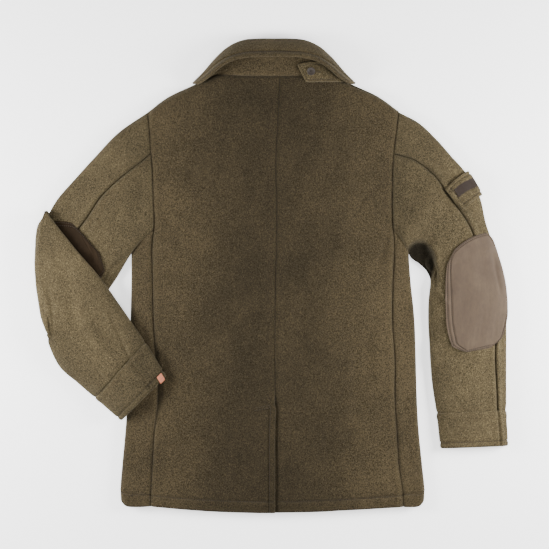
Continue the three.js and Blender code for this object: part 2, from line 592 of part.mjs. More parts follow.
// Top sleeve: round the outer edge and the front side. Under sleeve: the rest of the back side.
function sleevePanel(sleeve, under) {
  const lastRow = sleeve.cuffRow - 0.008;
  const columns = under ? UNDER_SEAM_COLUMNS + UNDER_ANGLES.length : TOP_ANGLES.length + TOP_SEAM_COLUMNS;
  const ladder = (row) => {
    const back = seamAngle(sleeve, row);
    const edge = 180 - EDGE_SEAM_ANGLE * (1 + 4 * foldNearness(sleeve, row));
    const gap = SEAM_ANGLE * (1 + foldNearness(sleeve, row));
    if (under) {
      const even = steps(UNDER_SEAM_COLUMNS).slice(0, -1).map((t) => mix(back + gap, UNDER_ANGLES[0], t));
      return [...even, ...UNDER_ANGLES, edge];
    }
    const start = TOP_ANGLES[TOP_ANGLES.length - 1];
    const even = steps(TOP_SEAM_COLUMNS).slice(1).map((t) => mix(start, back - gap, t));
    return [-edge, ...TOP_ANGLES, ...even];
  };
  const angleAt = (u, row) => {
    const angles = ladder(row);
    const place = clamp(u * columns, 0, columns);
    const i = Math.min(Math.floor(place), columns - 1);
    return mix(angles[i], angles[i + 1], place - i);
  };
  const surface = (u, v) => sleevePoint(sleeve, v * lastRow, angleAt(u, v * lastRow));
  const normalAt = (u, v) => tubeNormal(sleeve, v * lastRow, angleAt(u, v * lastRow));
  const rowSteps = sleeve.side === RIGHT ? steps(20) : steps(28);
  return clothWall(surface, steps(columns), rowSteps, CLOTH, sleeve.side.sign, { normalAt });
}

function cuff(sleeve) {
  const surface = (u, v) => sleevePoint(sleeve, mix(sleeve.cuffRow, sleeve.endRow, v), u * 360);
  const half = [0, 8, 19, 32, 50, 70, 90, 110, 130, 148, 161, 172];
  const around = [...half, ...half.map((angle) => angle + 180)].map((angle) => angle / 360);
  return clothWall(surface, around, steps(3), CLOTH, sleeve.side.sign, { ring: true });
}

// A piece sewn on a sleeve, made from the sleeve's own points moved out by its seat
function onSleeve(sleeve, stretch, grid, { thickness, seat, straight = false }) {
  const across = (angle) => 1 - Math.cos(radians(angle));
  const place = (u, v) => {
    const at = (column) => tableValue(stretch, 'step', v * (stretch.length - 1), column);
    const angle = mix(at('from'), at('to'), u);
    const start = across(at('from'));
    const crossed = (across(angle) - start) / (across(at('to')) - start);
    return [mix(at('fromRow'), at('toRow'), straight ? crossed : u), angle];
  };
  const normalAt = (u, v) => tubeNormal(sleeve, ...place(u, v));
  const surface = (u, v) => sleevePoint(sleeve, ...place(u, v))
    .addScaledVector(normalAt(u, v), seat + thickness);
  return clothWall(surface, steps(grid.columns), steps(grid.rows), thickness, sleeve.side.sign, { normalAt });
}

// Leather tag folded over the edge of the left cuff
function cuffTag() {
  const sleeve = SLEEVES.left;
  const gap = CLOTH / 2 + TAG.clearance + TAG.thickness;
  const bend = Math.PI * gap;
  const total = TAG.outside + bend + TAG.inside;
  const surface = (u, v) => {
    const angle = mix(TAG.fromAngle, TAG.toAngle, u);
    const end = sleevePoint(sleeve, sleeve.endRow, angle);
    const back = sleevePoint(sleeve, sleeve.endRow - 0.2, angle);
    const across = sleevePoint(sleeve, sleeve.endRow, angle + 1)
      .sub(sleevePoint(sleeve, sleeve.endRow, angle - 1));
    const along = end.clone().sub(back).normalize();
    const normal = across.cross(along).normalize().multiplyScalar(sleeve.side.sign);
    const middle = end.clone().addScaledVector(normal, -CLOTH / 2);
    const distance = v * total;
    const turn = clamp((distance - TAG.outside) / bend, 0, 1) * Math.PI;
    const straight = Math.min(distance - TAG.outside, 0) + Math.min(total - TAG.inside - distance, 0);
    return middle.addScaledVector(along, straight + gap * Math.sin(turn))
      .addScaledVector(normal, gap * Math.cos(turn));
  };
  const lengths = [0, TAG.outside, ...steps(6).slice(1, -1).map((t) => TAG.outside + t * bend),
    TAG.outside + bend, total];
  return clothWall(surface, steps(2), lengths.map((d) => d / total), TAG.thickness, 1);
}

// A row of collar values at a signed station, negative on the left
function collarAt(station) {
  const out = Math.abs(station);
  const at = (column) => tableValue(COLLAR, 'out', out, column);
  const sign = station < 0 ? -1 : 1;
  return {
    seam: new THREE.Vector3(MIDDLE_X + sign * at('seamX'), at('seamY'), at('seamZ')),
    roll: new THREE.Vector3(MIDDLE_X + sign * at('rollX'), at('rollY'), at('rollZ')),
    edge: new THREE.Vector3(MIDDLE_X + sign * at('edgeX'), at('edgeY'), at('edgeZ')),
  };
}

// Collar stand: from the neck seam towards the roll line
function collarStand() {
  const surface = (u, v) => {
    const { seam, roll } = collarAt(mix(-STAND_END, STAND_END, u));
    const end = roll.clone().setZ(roll.z - ROLL_RADIUS + CLOTH);
    const length = Math.hypot(end.x - seam.x, end.y - seam.y);
    return seam.clone().lerp(end, v * (1 - (COLLAR_JOIN + SEAM) / length));
  };
  return clothWall(surface, steps(20), steps(4), CLOTH, 1);
}

// Collar fall: round the roll line and up to its free edge
function collarFall() {
  const surface = (u, v) => {
    const { seam, roll, edge } = collarAt(mix(-COLLAR_END, COLLAR_END, u));
    const towards = edge.clone().sub(roll).setZ(0);
    const reach = Math.max(towards.length(), 6);
    const inward = seam.clone().sub(roll).setZ(0).normalize();
    towards.normalize();
    if (v < 0.25) {
      const hidden = 1 - v / 0.25;
      const inset = mix(ROLL_RADIUS, COLLAR_JOIN, hidden);
      return roll.clone().addScaledVector(inward, inset).setZ(roll.z - ROLL_RADIUS);
    }
    if (v < 0.5) {
      const turn = ((v - 0.25) / 0.25) * (Math.PI / 2);
      const out = ROLL_RADIUS * (1 - Math.sin(turn));
      return roll.clone().addScaledVector(inward, out).setZ(roll.z - ROLL_RADIUS * Math.cos(turn));
    }
    const t = (v - 0.5) / 0.5;
    const lean = t ** 1.5;
    return roll.clone().addScaledVector(towards, reach * lean).setZ(mix(roll.z, edge.z, t));
  };
  const rows = [0, 0.25, 0.333, 0.417, 0.5, 0.625, 0.75, 0.875, 1];
  return clothWall(surface, steps(28), rows, CLOTH, -1);
}

// An outline with its corners rounded
function roundedShape(outline, radius) {
  const shape = new THREE.Shape();
  outline.forEach(([x, y], i) => {
    const corner = new THREE.Vector2(x, y);
    const before = new THREE.Vector2(...outline[(i + outline.length - 1) % outline.length]);
    const after = new THREE.Vector2(...outline[(i + 1) % outline.length]);
    const start = corner.clone().add(before.sub(corner).setLength(radius));
    const end = corner.clone().add(after.sub(corner).setLength(radius));
    if (i === 0) shape.moveTo(start.x, start.y);
    else shape.lineTo(start.x, start.y);
    shape.quadraticCurveTo(corner.x, corner.y, end.x, end.y);
  });
  shape.closePath();
  return shape;
}

function flatPiece(outline, radius, thickness, z) {
  const settings = { depth: thickness, bevelEnabled: false, curveSegments: 4 };
  return new THREE.ExtrudeGeometry(roundedShape(outline, radius), settings).translate(0, 0, z);
}

// A button with a raised rim, its face up
function buttonGeometry(radius, height) {
  const rim = radius * 0.78;
  const dish = height * 0.25;
  const profile = [[0, 0], [radius * 0.9, 0], [radius, height * 0.35], [radius * 0.96, height * 0.85],
    [radius * 0.88, height], [rim, height], [rim * 0.9, height - dish], [0, height - dish]];
  const geometry = new THREE.LatheGeometry(profile.map(([r, z]) => new THREE.Vector2(r, z)), BUTTON_SIDES);
  return geometry.rotateX(Math.PI / 2);
}

function frontButtons() {
  const meshes = [];
  FRONT_BUTTON.rowsY.forEach((y, row) => {
    for (const side of [LEFT, RIGHT]) {
      const geometry = buttonGeometry(FRONT_BUTTON.radius, FRONT_BUTTON.height).rotateX(Math.PI);
      const name = `front_button_${side === LEFT ? 'left' : 'right'}_${row + 1}`;
      const mesh = piece(name, geometry, HORN);
      mesh.position.set(side.sign * FRONT_BUTTON.columnX, y, FRONT_BUTTON.height);
      meshes.push(mesh);
    }
  });
  return meshes;
}

function tabButton() {
  const mesh = piece('tab_button', buttonGeometry(TAB_BUTTON.radius, TAB_BUTTON.height), HORN);
  mesh.position.set(TAB_BUTTON.x, TAB_BUTTON.y, TAB_Z + TAB_CLOTH + SEAM);
  return mesh;
}

const LEFT_PATCH_GRID = { columns: 7, rows: 9 };
const RIGHT_PATCH_GRID = { columns: 14, rows: 16 };
const STRAP_GRID = { columns: 9, rows: 4 };
const LABEL_GRID = { columns: 6, rows: 2 };

const coat = new THREE.Group();
coat.add(
  piece('back_left', backPanel(LEFT, -SEAM / 2, false), WOOL),
  piece('back_right', backPanel(RIGHT, SEAM / 2, true), WOOL),
  piece('side_left', sidePanel(LEFT), WOOL),
  piece('side_right', sidePanel(RIGHT), WOOL),
  piece('front_left', frontPanel(LEFT, 0), WOOL),
  piece('front_right', frontPanel(RIGHT, 1), WOOL),
  piece('sleeve_left_top', sleevePanel(SLEEVES.left, false), WOOL),
  piece('sleeve_left_under', sleevePanel(SLEEVES.left, true), WOOL),
  piece('sleeve_right_top', sleevePanel(SLEEVES.right, false), WOOL),
  piece('sleeve_right_under', sleevePanel(SLEEVES.right, true), WOOL),
  piece('cuff_left', cuff(SLEEVES.left), WOOL),
  piece('cuff_right', cuff(SLEEVES.right), WOOL),
  piece('elbow_patch_left', onSleeve(SLEEVES.left, LEFT_PATCH, LEFT_PATCH_GRID, PATCH_FIT), PATCH),
  piece('elbow_patch_right', onSleeve(SLEEVES.right, RIGHT_PATCH, RIGHT_PATCH_GRID, PATCH_FIT), PATCH),
  piece('sleeve_strap', onSleeve(SLEEVES.right, STRAP, STRAP_GRID, STRAP_FIT), WOOL),
  piece('strap_label', onSleeve(SLEEVES.right, LABEL, LABEL_GRID, LABEL_FIT), LABEL_FINISH),
  piece('cuff_tag', cuffTag(), TAG_LEATHER),
  piece('collar_stand', collarStand(), WOOL),
  piece('collar_fall', collarFall(), WOOL),
  piece('throat_tab', flatPiece(TAB_OUTLINE, TAB_CORNER, TAB_CLOTH, TAB_Z), WOOL),
  piece('lapel_left', flatPiece(LAPEL_LEAF.map(([x, y]) => [-x, y]), 6, CLOTH, 0), WOOL),
  piece('lapel_right', flatPiece(LAPEL_LEAF, 6, CLOTH, 0), WOOL),
  tabButton(),
  ...frontButtons(),
);

export default coat;
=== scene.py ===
# Pea coat laid face down: heavy napped wool with suede-like patches, seen from straight above.
# Sizes below are in millimetres in the frame's own axes; meshes are made in metres.
import math

import bpy
import numpy as np
from mathutils import Matrix


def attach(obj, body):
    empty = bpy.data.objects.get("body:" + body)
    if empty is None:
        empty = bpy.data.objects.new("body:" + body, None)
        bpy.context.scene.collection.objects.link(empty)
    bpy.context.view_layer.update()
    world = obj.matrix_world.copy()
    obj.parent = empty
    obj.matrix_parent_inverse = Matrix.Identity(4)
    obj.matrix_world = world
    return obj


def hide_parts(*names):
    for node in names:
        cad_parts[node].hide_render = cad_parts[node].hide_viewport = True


MM = 0.001
BODY = "root"

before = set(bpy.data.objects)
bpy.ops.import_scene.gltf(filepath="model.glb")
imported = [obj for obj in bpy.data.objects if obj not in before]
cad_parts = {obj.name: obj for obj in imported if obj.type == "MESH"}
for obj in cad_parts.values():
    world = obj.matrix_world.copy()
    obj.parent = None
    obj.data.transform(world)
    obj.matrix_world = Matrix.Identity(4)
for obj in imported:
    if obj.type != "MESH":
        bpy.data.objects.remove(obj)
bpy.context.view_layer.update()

# Driving sizes. The shells meet at the seams, where the solids stay a little apart.
CLOTH = 2.8
SEAM = -0.3
EDGE_HALF = 8.0
EDGE_RUN = 16.0
BODY_CROWN = 11.0
MIDDLE_X = 2.5
NECK_Y = 360.0
SHOULDER_Y = 300.0
ARMPIT_Y = 44.5
ARMHOLE_FOOT = 41.0
FOOT_Y = ARMPIT_Y + ARMHOLE_FOOT
HEM_Y = -423.0
HEM_RISE = 14.0
HEM_CORNER = 12.0
BODY_SPAN = FOOT_Y - HEM_Y
NECK_HALF = 103.0
OVERLAP_HALF = 85.0
VENT_TOP_Y = -229.0
VENT_UNDERLAP = 38.0
VENT_SPACE = 1.2
VENT_LAP = 2.0
NECK_DIP = 2.6
HEM_STITCH = 20.5
BACK_CREASE_GAIN = 3.0
SLEEVE_CREASE_GAIN = 2.3


def table(columns, rows):
    """A short table as one array for each named column."""
    names = columns.split()
    return {name: np.array([row[i] for row in rows], float) for i, name in enumerate(names)}


def value(data, key, at, column):
    """One column at places between the rows, on a smooth curve."""
    keys = data[key]
    points = data[column]
    last = len(keys) - 1
    at = np.asarray(at, float)
    i = np.clip(np.searchsorted(keys, at, side="left") - 1, 0, last - 1)
    span = keys[i + 1] - keys[i]
    t = np.clip((at - keys[i]) / span, 0, 1)

    def slope(a, b):
        return (points[b] - points[a]) / (keys[b] - keys[a])

    start = slope(np.maximum(i - 1, 0), i + 1) * span
    end = slope(i, np.minimum(i + 2, last)) * span
    square = t * t
    cube = square * t
    return (
        (2 * cube - 3 * square + 1) * points[i]
        + (cube - 2 * square + t) * start
        + (3 * square - 2 * cube) * points[i + 1]
        + (cube - square) * end
    )


def mix(a, b, t):
    return a + (b - a) * t


def smooth(t):
    t = np.clip(t, 0, 1)
    return t * t * (3 - 2 * t)


def bell(distance, width):
    """1 on a line, falling to nothing on both sides over about twice the width."""
    return np.exp(-((distance / width) ** 2))


def unit(vector):
    return vector / max(np.linalg.norm(vector), 1e-9)


# Width of the body by level, with its side seams and centre seam. Above the armpits the seam
# columns are the armholes.
BODY_TABLE = table(
    "y leftEdge leftSeam centre rightSeam rightEdge",
    [
        (-423, -269, -217, 2.5, 233, 269),
        (-381, -271.5, -216.5, 2.5, 232, 271.5),
        (-345, -269, -214.5, 2.5, 226, 268),
        (-274, -262.5, -210, 2.5, 221.5, 261),
        (-220, -259, -203, 4.5, 218, 258),
        (-150, -256.5, -207.5, 4.5, 218, 256),
        (-78, -253.5, -212, 4.5, 213.5, 253.5),
        (-7, -252, -213.5, 5.5, 214.5, 246.5),
        (45, -252, -214.5, 7, 217, 243),
        (86, -252, -212.5, 7.5, 216, 243),
        (136, -252, -213.5, 7, 214.5, 243),
        (210, -252, -217, 6, 216.5, 243),
        (292.5, -252, -223.5, 10.5, 226, 243),
        (360, -252, -223.5, 13.5, 226, 243),
    ],
)
BACK_TOP = table(
    "out y",
    [(0, 356.5), (50, 356.5), (88, 358.5), (103, 359), (124, 350), (146, 340), (186, 321), (226, 292.5)],
)
FRONT_NECK_DROP = 58.0
CROWN = table("y crown", [(-423, 0.12), (-330, 0.7), (-200, 1), (200, 1), (360, 0.5)])

# Soft folds of the back, each a ridge or a trough along a line: start, end, half-width and height.
# The first table holds the big ones, which the solid has too.
BACK_FOLDS = [
    (-150, 250, -165, 60, 26, -2.6),
    (-70, 90, -40, -40, 24, -2.4),
    (-120, 60, -70, -190, 28, 2.2),
    (150, 230, 170, 40, 26, -2.4),
    (85, 40, 110, -200, 30, 2.4),
    (150, -60, 165, -260, 24, -2.2),
    (-150, -230, -140, -400, 26, -2.0),
]
BACK_CREASES = [
    (-205, 215, -120, 130, 13, -1.3),
    (-206, 150, -150, 20, 11, -1.2),
    (-95, 250, -135, 120, 16, 0.9),
    (-60, 40, -30, -110, 12, -1.1),
    (-30, 150, -52, 20, 14, 0.8),
    (-15, -60, -22, -215, 9, -0.8),
    (40, 210, 30, 90, 12, -0.7),
    (60, -20, 72, -190, 11, -1.0),
    (120, 110, 96, -30, 15, 1.0),
    (206, 190, 140, 90, 12, -1.2),
    (208, 120, 165, -20, 10, -1.0),
    (140, -120, 120, -300, 14, 1.0),
    (190, -40, 186, -220, 9, -0.9),
    (-180, -40, -172, -230, 12, 0.9),
    (-195, -130, -190, -330, 9, -0.9),
    (-80, -200, -92, -395, 15, 0.9),
    (-48, -240, -40, -405, 8, -0.7),
    (40, -260, 36, -410, 10, -0.9),
    (90, -250, 100, -410, 13, -0.9),
    (200, -280, 205, -410, 10, 0.8),
    (-100, 335, -60, 270, 14, -0.8),
    (60, 345, 110, 290, 12, -0.7),
    (160, 320, 206, 260, 10, -0.7),
    (-206, 262, -160, 310, 10, 0.7),
    (-24, 352, -18, 270, 8, -0.5),
]

# Sleeves: outer and inner edge of the flat tube, half thickness, crowns, height of the lower face at
# both edges, how sharply that falls, the back seam as a share of the width, and the turn.
SLEEVE_COLUMNS = "row outerX outerY innerX innerY half back front low innerLow sag seam turn"
RIGHT_ROWS = [
    (0, 226, 292.5, 243, 45, 8, 3, 0, 0, 0, 1, 0.3, -90),
    (1, 262.5, 272.5, 248.5, 32, 8, 8, 0, 0, 0, 1, 0.27, -90),
    (2, 294.5, 242, 262.5, 21.5, 8, 11, 0, 0, 0, 1, 0.27, -90),
    (3, 319.5, 213.5, 275, 9, 8, 12, 0, 0, 0, 1, 0.29, -90),
    (4, 344.5, 185, 282, -7, 8, 12, 0, 0, 0, 1, 0.3, -90),
    (5, 369.5, 142.5, 280.5, -28.5, 8, 12, 0, 0, 0, 1, 0.26, -90),
    (6, 382, 91, 278.5, -51.5, 8, 12, 0, 0, 0, 1, 0.19, -90),
    (7, 403, 30.5, 278.5, -87, 8, 12, 0, 0, 0, 1, 0.17, -90),
    (8, 415.5, -25, 280.5, -123, 8, 12, 0, 0, 0, 1, 0.16, -90),
    (9, 417.5, -87, 282, -153, 8, 11, 0, 0, 0, 1, 0.15, -90),
    (10, 417.5, -149.5, 285.5, -194, 8, 10, 0, 0, 0, 1, 0.15, -90),
    (11, 417.5, -238.5, 293, -244, 8, 9, 0, 0, 0, 1, 0.13, -90),
    (12, 419, -271, 296.5, -276, 8, 8, 0, 0, 0, 1, 0.12, -90),
    (13, 421, -303, 300, -308, 8, 7, 0, 0, 0, 1, 0.12, -90),
]
LEFT_UPPER = [
    (0, -223.5, 292.5, -252, 45, 8, 3, 0, 0, 0, 1, 0.3, -90),
    (1, -275, 256.5, -262.5, 25, 8, 8, 0, 0, 0, 1, 0.32, -90),
    (2, -316, 213.5, -285.5, -14, 8, 8, 0, 0, 0, 1, 0.32, -90),
    (3, -350, 176, -314, -48, 8, 5, 0, 0, 0, 1, 0.36, -90),
    (4, -383, 138.5, -357, -76.5, 7.5, 1.5, 0, 0, 0, 1, 0.38, -90),
]
LEFT_LOWER = [
    (10, -350, 48, -399, -119.5, 7.5, 0, 4, 22, 11, 3, 0.4, 90),
    (11, -307, -2, -380, -162, 8, 0, 8, 20, 1, 2, 0.4, 90),
    (12, -268, -57, -348, -190.5, 8, 0, 10, 17, 0, 1.6, 0.36, 90),
    (13, -230, -112, -321.5, -213.5, 8, 0, 10, 21, 0, 1.6, 0.32, 90),
    (14, -209, -144, -294.5, -236.5, 8, 0, 9, 22.5, 5, 2.4, 0.3, 90),
    (15, -188.5, -178, -269.5, -258, 8, 0, 8, 23, 9, 4, 0.3, 90),
]
FOLD_HALF = 7.0
FOLD_SPACE = 4.4
FOLD_OUTER = (-400.0, 110.5)
FOLD_INNER = (-383.0, -92.0)
FOLD_SLIDE = (-11.0, -14.0)
FOLD_BOW = 13.0
FOLD_STEPS = 4
FOLD_ROW = 5
ROLL_GAIN = 1.15
ROLL_POWER = 0.35
HEAD_FADE_ROWS = 2.2


def fold_rows():
    """Rows that carry the left sleeve round its fold at the elbow."""
    rows = []
    for i in range(FOLD_STEPS + 1):
        t = i / FOLD_STEPS
        turn = mix(-90, 90, t)
        axis = 2 * FOLD_HALF + FOLD_SPACE / 2
        low = axis + (FOLD_HALF + FOLD_SPACE / 2) * math.sin(math.radians(turn)) - FOLD_HALF
        inner = (FOLD_INNER[0] + FOLD_SLIDE[0] * t, FOLD_INNER[1] + FOLD_SLIDE[1] * t)
        rows.append((FOLD_ROW + i, *FOLD_OUTER, *inner, FOLD_HALF, 0, 0, low, low, 3, 0.4, turn))
    return rows


LEFT = {"edge": "leftEdge", "seam": "leftSeam", "sign": -1}
RIGHT = {"edge": "rightEdge", "seam": "rightSeam", "sign": 1}
# cuffRun is the run of one row at the cuff.
LEFT_SLEEVE = {
    "side": LEFT,
    "rows": table(SLEEVE_COLUMNS, LEFT_UPPER + fold_rows() + LEFT_LOWER),
    "cuffRow": 13.15,
    "endRow": 15.0,
    "cuffRun": 34.0,
}
RIGHT_SLEEVE = {
    "side": RIGHT,
    "rows": table(SLEEVE_COLUMNS, RIGHT_ROWS),
    "cuffRow": 11.0,
    "endRow": 13.0,
    "cuffRun": 32.0,
}

# Creases of a sleeve along a line of row and angle: start, end, half-width in millimetres, height
RIGHT_CREASES = [
    (0.3, 150, 2.2, 80, 12, 2.0),
    (0.9, 168, 3.4, 112, 9, -2.0),
    (1.7, 152, 4.9, 152, 12, -3.2),
    (1.9, 160, 4.4, 160, 10, -1.6),
    (2.2, 132, 5.4, 128, 14, 1.6),
    (0.4, 120, 1.8, 40, 14, -1.2),
    (2.4, 160, 4.6, 128, 10, 2.2),
    (3.4, 166, 5.6, 140, 8, -2.2),
    (2.8, 90, 4.2, 50, 14, -1.0),
    (5.2, 165, 7.2, 112, 9, 1.6),
    (5.8, 172, 8.4, 146, 8, -1.8),
    (7.4, 168, 9.6, 150, 8, 1.4),
    (9.0, 160, 10.6, 60, 12, -1.2),
    (9.4, 100, 10.8, 30, 12, 1.0),
    (10.1, 150, 11.4, 90, 10, -0.8),
    (6.4, 10, 8.2, 30, 10, -0.7),
    (11.4, 140, 12.6, 120, 10, -0.6),
    (0.6, -60, 3.2, -120, 16, 1.2),
    (3.6, -40, 6.4, -100, 15, -1.1),
    (7.0, -50, 9.4, -110, 14, 1.0),
    (9.6, -60, 11.6, -130, 12, -0.9),
]
LEFT_CREASES = [
    (0.2, 60, 1.4, 130, 13, -1.4),
    (0.5, 150, 2.2, 120, 10, 1.6),
    (0.9, 168, 2.6, 140, 8, -1.8),
    (1.6, 60, 3.0, 100, 14, 1.0),
    (2.4, 120, 4.2, 90, 12, -1.4),
    (3.0, 50, 4.4, 30, 12, -0.8),
    (9.6, -40, 11.2, -110, 13, -1.6),
    (10.2, -60, 12.6, -90, 15, 1.5),
    (10.2, -84, 13.2, -62, 20, -1.1),
    (11.4, -30, 13.4, -70, 12, -1.3),
    (12.0, -110, 14.2, -125, 13, 1.2),
    (12.8, -50, 14.4, -40, 10, -0.9),
    (9.6, -128, 14.6, -118, 24, 1.3),
    (9.8, -86, 14.2, -74, 22, -1.5),
    (13.2, -150, 14.6, -140, 8, -0.9),
    (9.2, -90, 10.2, -150, 12, -1.2),
]
RIGHT_PATCH = table(
    "step fromRow from toRow to",
    [
        (0, 6.14, 25, 5.14, 94),
        (0.9, 6.4, 8, 5.24, 109),
        (1.1, 6.48, 5, 5.36, 111),
        (2, 6.9, -8, 6.08, 116),
        (3, 7.6, -10, 6.91, 121),
        (4, 8.4, -4, 7.8, 123),
        (4.9, 8.95, 14, 8.66, 117.5),
        (5.1, 9.03, 18, 8.8, 115),
        (6, 9.32, 32, 9.08, 104),
        (7, 9.48, 57, 9.27, 94),
    ],
)
LEFT_PATCH = table(
    "step fromRow from toRow to",
    [
        (0, 2.44, 112, 2.3, 134),
        (1, 2.98, 88, 2.46, 136),
        (1.9, 3.43, 67, 2.62, 137),
        (2.1, 3.55, 62.5, 2.7, 136.5),
        (3, 3.9, 54, 3.2, 130),
        (4, 4.36, 44, 4.0, 122),
        (5, 4.95, 36, 4.95, 116),
    ],
)
STRAP = table("step fromRow from toRow to", [(0, 4, -4, 3, 66), (1, 4.5, -4, 3.75, 66), (2, 5, -4, 4.5, 62)])
LABEL = table("step fromRow from toRow to", [(0, 4.32, 6, 3.55, 58), (1, 4.66, 6, 4.02, 58)])
# Hollow under the right arm: centre, half sizes, inner and outer reach as shares, how deep the cloth sinks,
# how low it goes, and the painted shade in it
HOLLOW = {"x": 262.0, "y": 22.0, "halfX": 28.5, "halfY": 41.0, "inner": 0.82, "outer": 1.12,
          "depth": 8.0, "floor": 6.6, "shade": 0.16}
PATCH_FIT = {"thickness": 1.1, "seat": 0.8, "straight": True}
STRAP_FIT = {"thickness": 4.6, "seat": 0.6, "straight": True}
LABEL_FIT = {"thickness": 0.9, "seat": 5.9, "straight": True}

COLLAR = table(
    "out seamX seamY seamZ rollX rollY rollZ edgeX edgeY edgeZ",
    [
        (0, 0, 357.3, 21, 0, 423, 21, 0, 389, 47),
        (1, 25, 357.3, 21, 26.5, 423, 21, 26.5, 388.5, 47),
        (2, 50, 358, 21, 55, 420.5, 21, 53, 386.5, 48),
        (3, 71, 359.2, 20, 81, 409, 21, 77, 380, 48),
        (4, 88, 360.8, 16, 104, 389, 20, 98, 368, 46),
        (5, 100, 363, 12, 126, 364, 17, 118, 352, 38),
        (6, 110, 360, 10, 146, 344.5, 12, 137, 341, 26),
    ],
)
STAND_END = 5.9
TUCK = 17.0
FALL_CLOTH = 4.2
COLLAR_END = 6
ROLL_RADIUS = 5.5
COLLAR_JOIN = 11.0
TAB_OUTLINE = [(43.5, 377), (66, 382), (96, 380.5), (128, 345.5), (59, 345)]
TAB_Z = 21.7
TAB_FULL = 4.8
TAB_BUTTON = {"x": 68.5, "y": 364.0, "radius": 7.2, "height": 3.0}
FRONT_BUTTON = {"radius": 11.0, "height": 3.4, "columnX": 62.0, "rowsY": (165.0, 50.0, -65.0)}
BUTTON_DIMPLE = {"flat": 27.0, "reach": 58.0, "height": 4.2}
LAPEL_LEAF = [(97, 349), (132, 333), (150, 296), (92, 197), (8, 268), (14, 300), (50, 316)]
LAPEL_REACH = 34.0
LAPEL_MARGIN = 24.0
LAYER_SPACE = 2.8
TAG = {"fromAngle": -24, "toAngle": -43, "outside": 11.0, "inside": 6.0, "thickness": 1.2, "clearance": 0.5}


# Cloth relief

def ripple(x, y, scale, seed):
    """Gentle uneven waviness between -1 and 1 from a few crossed waves."""
    total = np.zeros(np.broadcast(x, y).shape)
    for i in range(6):
        angle = seed * 1.7 + i * 1.137
        length = scale * (0.7 + 0.23 * ((i * 5 + seed * 3) % 4))
        phase = seed * 2.3 + i * i * 1.9
        total += np.sin((x * math.cos(angle) + y * math.sin(angle)) * 2 * math.pi / length + phase)
    return total / 6


def line_place(x, y, from_x, from_y, to_x, to_y):
    """Share along a line, distance across it and the line's length."""
    run_x, run_y = to_x - from_x, to_y - from_y
    length = math.hypot(run_x, run_y)
    along = ((x - from_x) * run_x + (y - from_y) * run_y) / (length * length)
    across = ((x - from_x) * run_y - (y - from_y) * run_x) / length
    return along, across, length


def tapered(along):
    """Full along the middle of a line, fading out over its ends."""
    return smooth(along / 0.3) * smooth((1 - along) / 0.3)


def crease_height(creases, x, y):
    """Sum of soft ridges and troughs, each bowed and uneven along its line."""
    height = np.zeros(np.broadcast(x, y).shape)
    for i, (*line, half, rise) in enumerate(creases):
        along, across, length = line_place(x, y, *line)
        bow = 0.09 * length * (((i * 7) % 5) - 2) / 2
        across = across - bow * (4 * along * (1 - along)).clip(0, 1)
        width = half * (0.8 + 0.4 * np.sin(along * 3.1 + i))
        height += rise * tapered(along) * bell(across, width)
    return height


def fold_height(x, y):
    """The big folds, exactly as the solid has them."""
    height = np.zeros(np.broadcast(x, y).shape)
    for *line, half, rise in BACK_FOLDS:
        along, across, _ = line_place(x, y, *line)
        height += rise * tapered(along) * bell(across, half)
    return height


# Seams: depth, width and the height of the swell beside them
CENTRE_SEAM = (1.6, 2.8, 1.0)
SIDE_BACK_SEAM = (2.2, 4.4, 1.5)
PANEL_SEAM = (2.0, 4.0, 0.7)
SLEEVE_SEAM = (1.8, 3.0, 0.8)


def seam_dip(distance, depth, width, swell):
    """Cloth pulled down at a seam, with the seam allowance's low swell beside it."""
    distance = np.abs(distance)
    sharp = 0.9 * np.exp(-distance / 1.1)
    return -depth * bell(distance, width) - sharp + swell * bell(distance - 9.5, 5.0)


def body_at(y, column):
    return value(BODY_TABLE, "y", y, column)


def foot_width(side):
    """Width of a side panel at the armhole's foot."""
    return abs(body_at(FOOT_Y, side["edge"]) - body_at(FOOT_Y, side["seam"]))


def edge_share(distance):
    t = 1 - np.clip(distance / EDGE_RUN, 0, 1)
    return np.sqrt(1 - t * t)


def back_top_y(x):
    return value(BACK_TOP, "out", np.minimum(np.abs(x - MIDDLE_X), BACK_TOP["out"][-1]), "y")


def shoulder_share(x, y):
    out = np.abs(x - MIDDLE_X)
    neck = 1 - smooth((out - NECK_HALF + 14) / 18)
    return mix(edge_share((back_top_y(x) - y) * 0.85), 1, neck)


def hem_y(x):
    return HEM_Y + HEM_RISE * ((x - MIDDLE_X) / 250) ** 2


def back_height(x, y):
    """Height of the back's outer face without the finer creases."""
    left = x < MIDDLE_X
    edge = np.where(left, body_at(y, "leftEdge"), body_at(y, "rightEdge"))
    share = np.clip((x - MIDDLE_X) / (edge - MIDDLE_X), 0, 1)
    crown = BODY_CROWN * value(CROWN, "y", y, "crown") * (1 - share * share)
    full = 2 * EDGE_HALF + crown + fold_height(x, y)
    roll = edge_share(np.abs(edge - x)) * shoulder_share(x, y)
    return EDGE_HALF + (full - EDGE_HALF) * roll


def back_relief(x, y):
    """Creases, waviness, seams and the turned-up hem of the back."""
    relief = BACK_CREASE_GAIN * crease_height(BACK_CREASES, x, y)
    relief += 1.3 * ripple(x, y, 64, 1) + 0.35 * ripple(x, y, 21, 2)
    above_hem = y - hem_y(x)
    relief += 1.0 * (1 - smooth((above_hem - 15) / 6))
    relief -= 2.0 * bell(above_hem - HEM_STITCH, 1.9)
    relief -= 1.8 * bell(above_hem, 2.4)
    return relief


def body_row_y(hem, top, row):
    return np.where(row <= 1, mix(hem, FOOT_Y, np.minimum(row, 1)), mix(FOOT_Y, top, np.maximum(row - 1, 0)))


# Meshes

def face_normals(surface, us, vs, facing, reach=0.002):
    along_u = surface(us + reach, vs) - surface(us - reach, vs)
    along_v = surface(us, vs + reach) - surface(us, vs - reach)
    normal = np.cross(along_u, along_v)
    length = np.linalg.norm(normal, axis=-1, keepdims=True)
    return normal / np.maximum(length, 1e-9) * facing


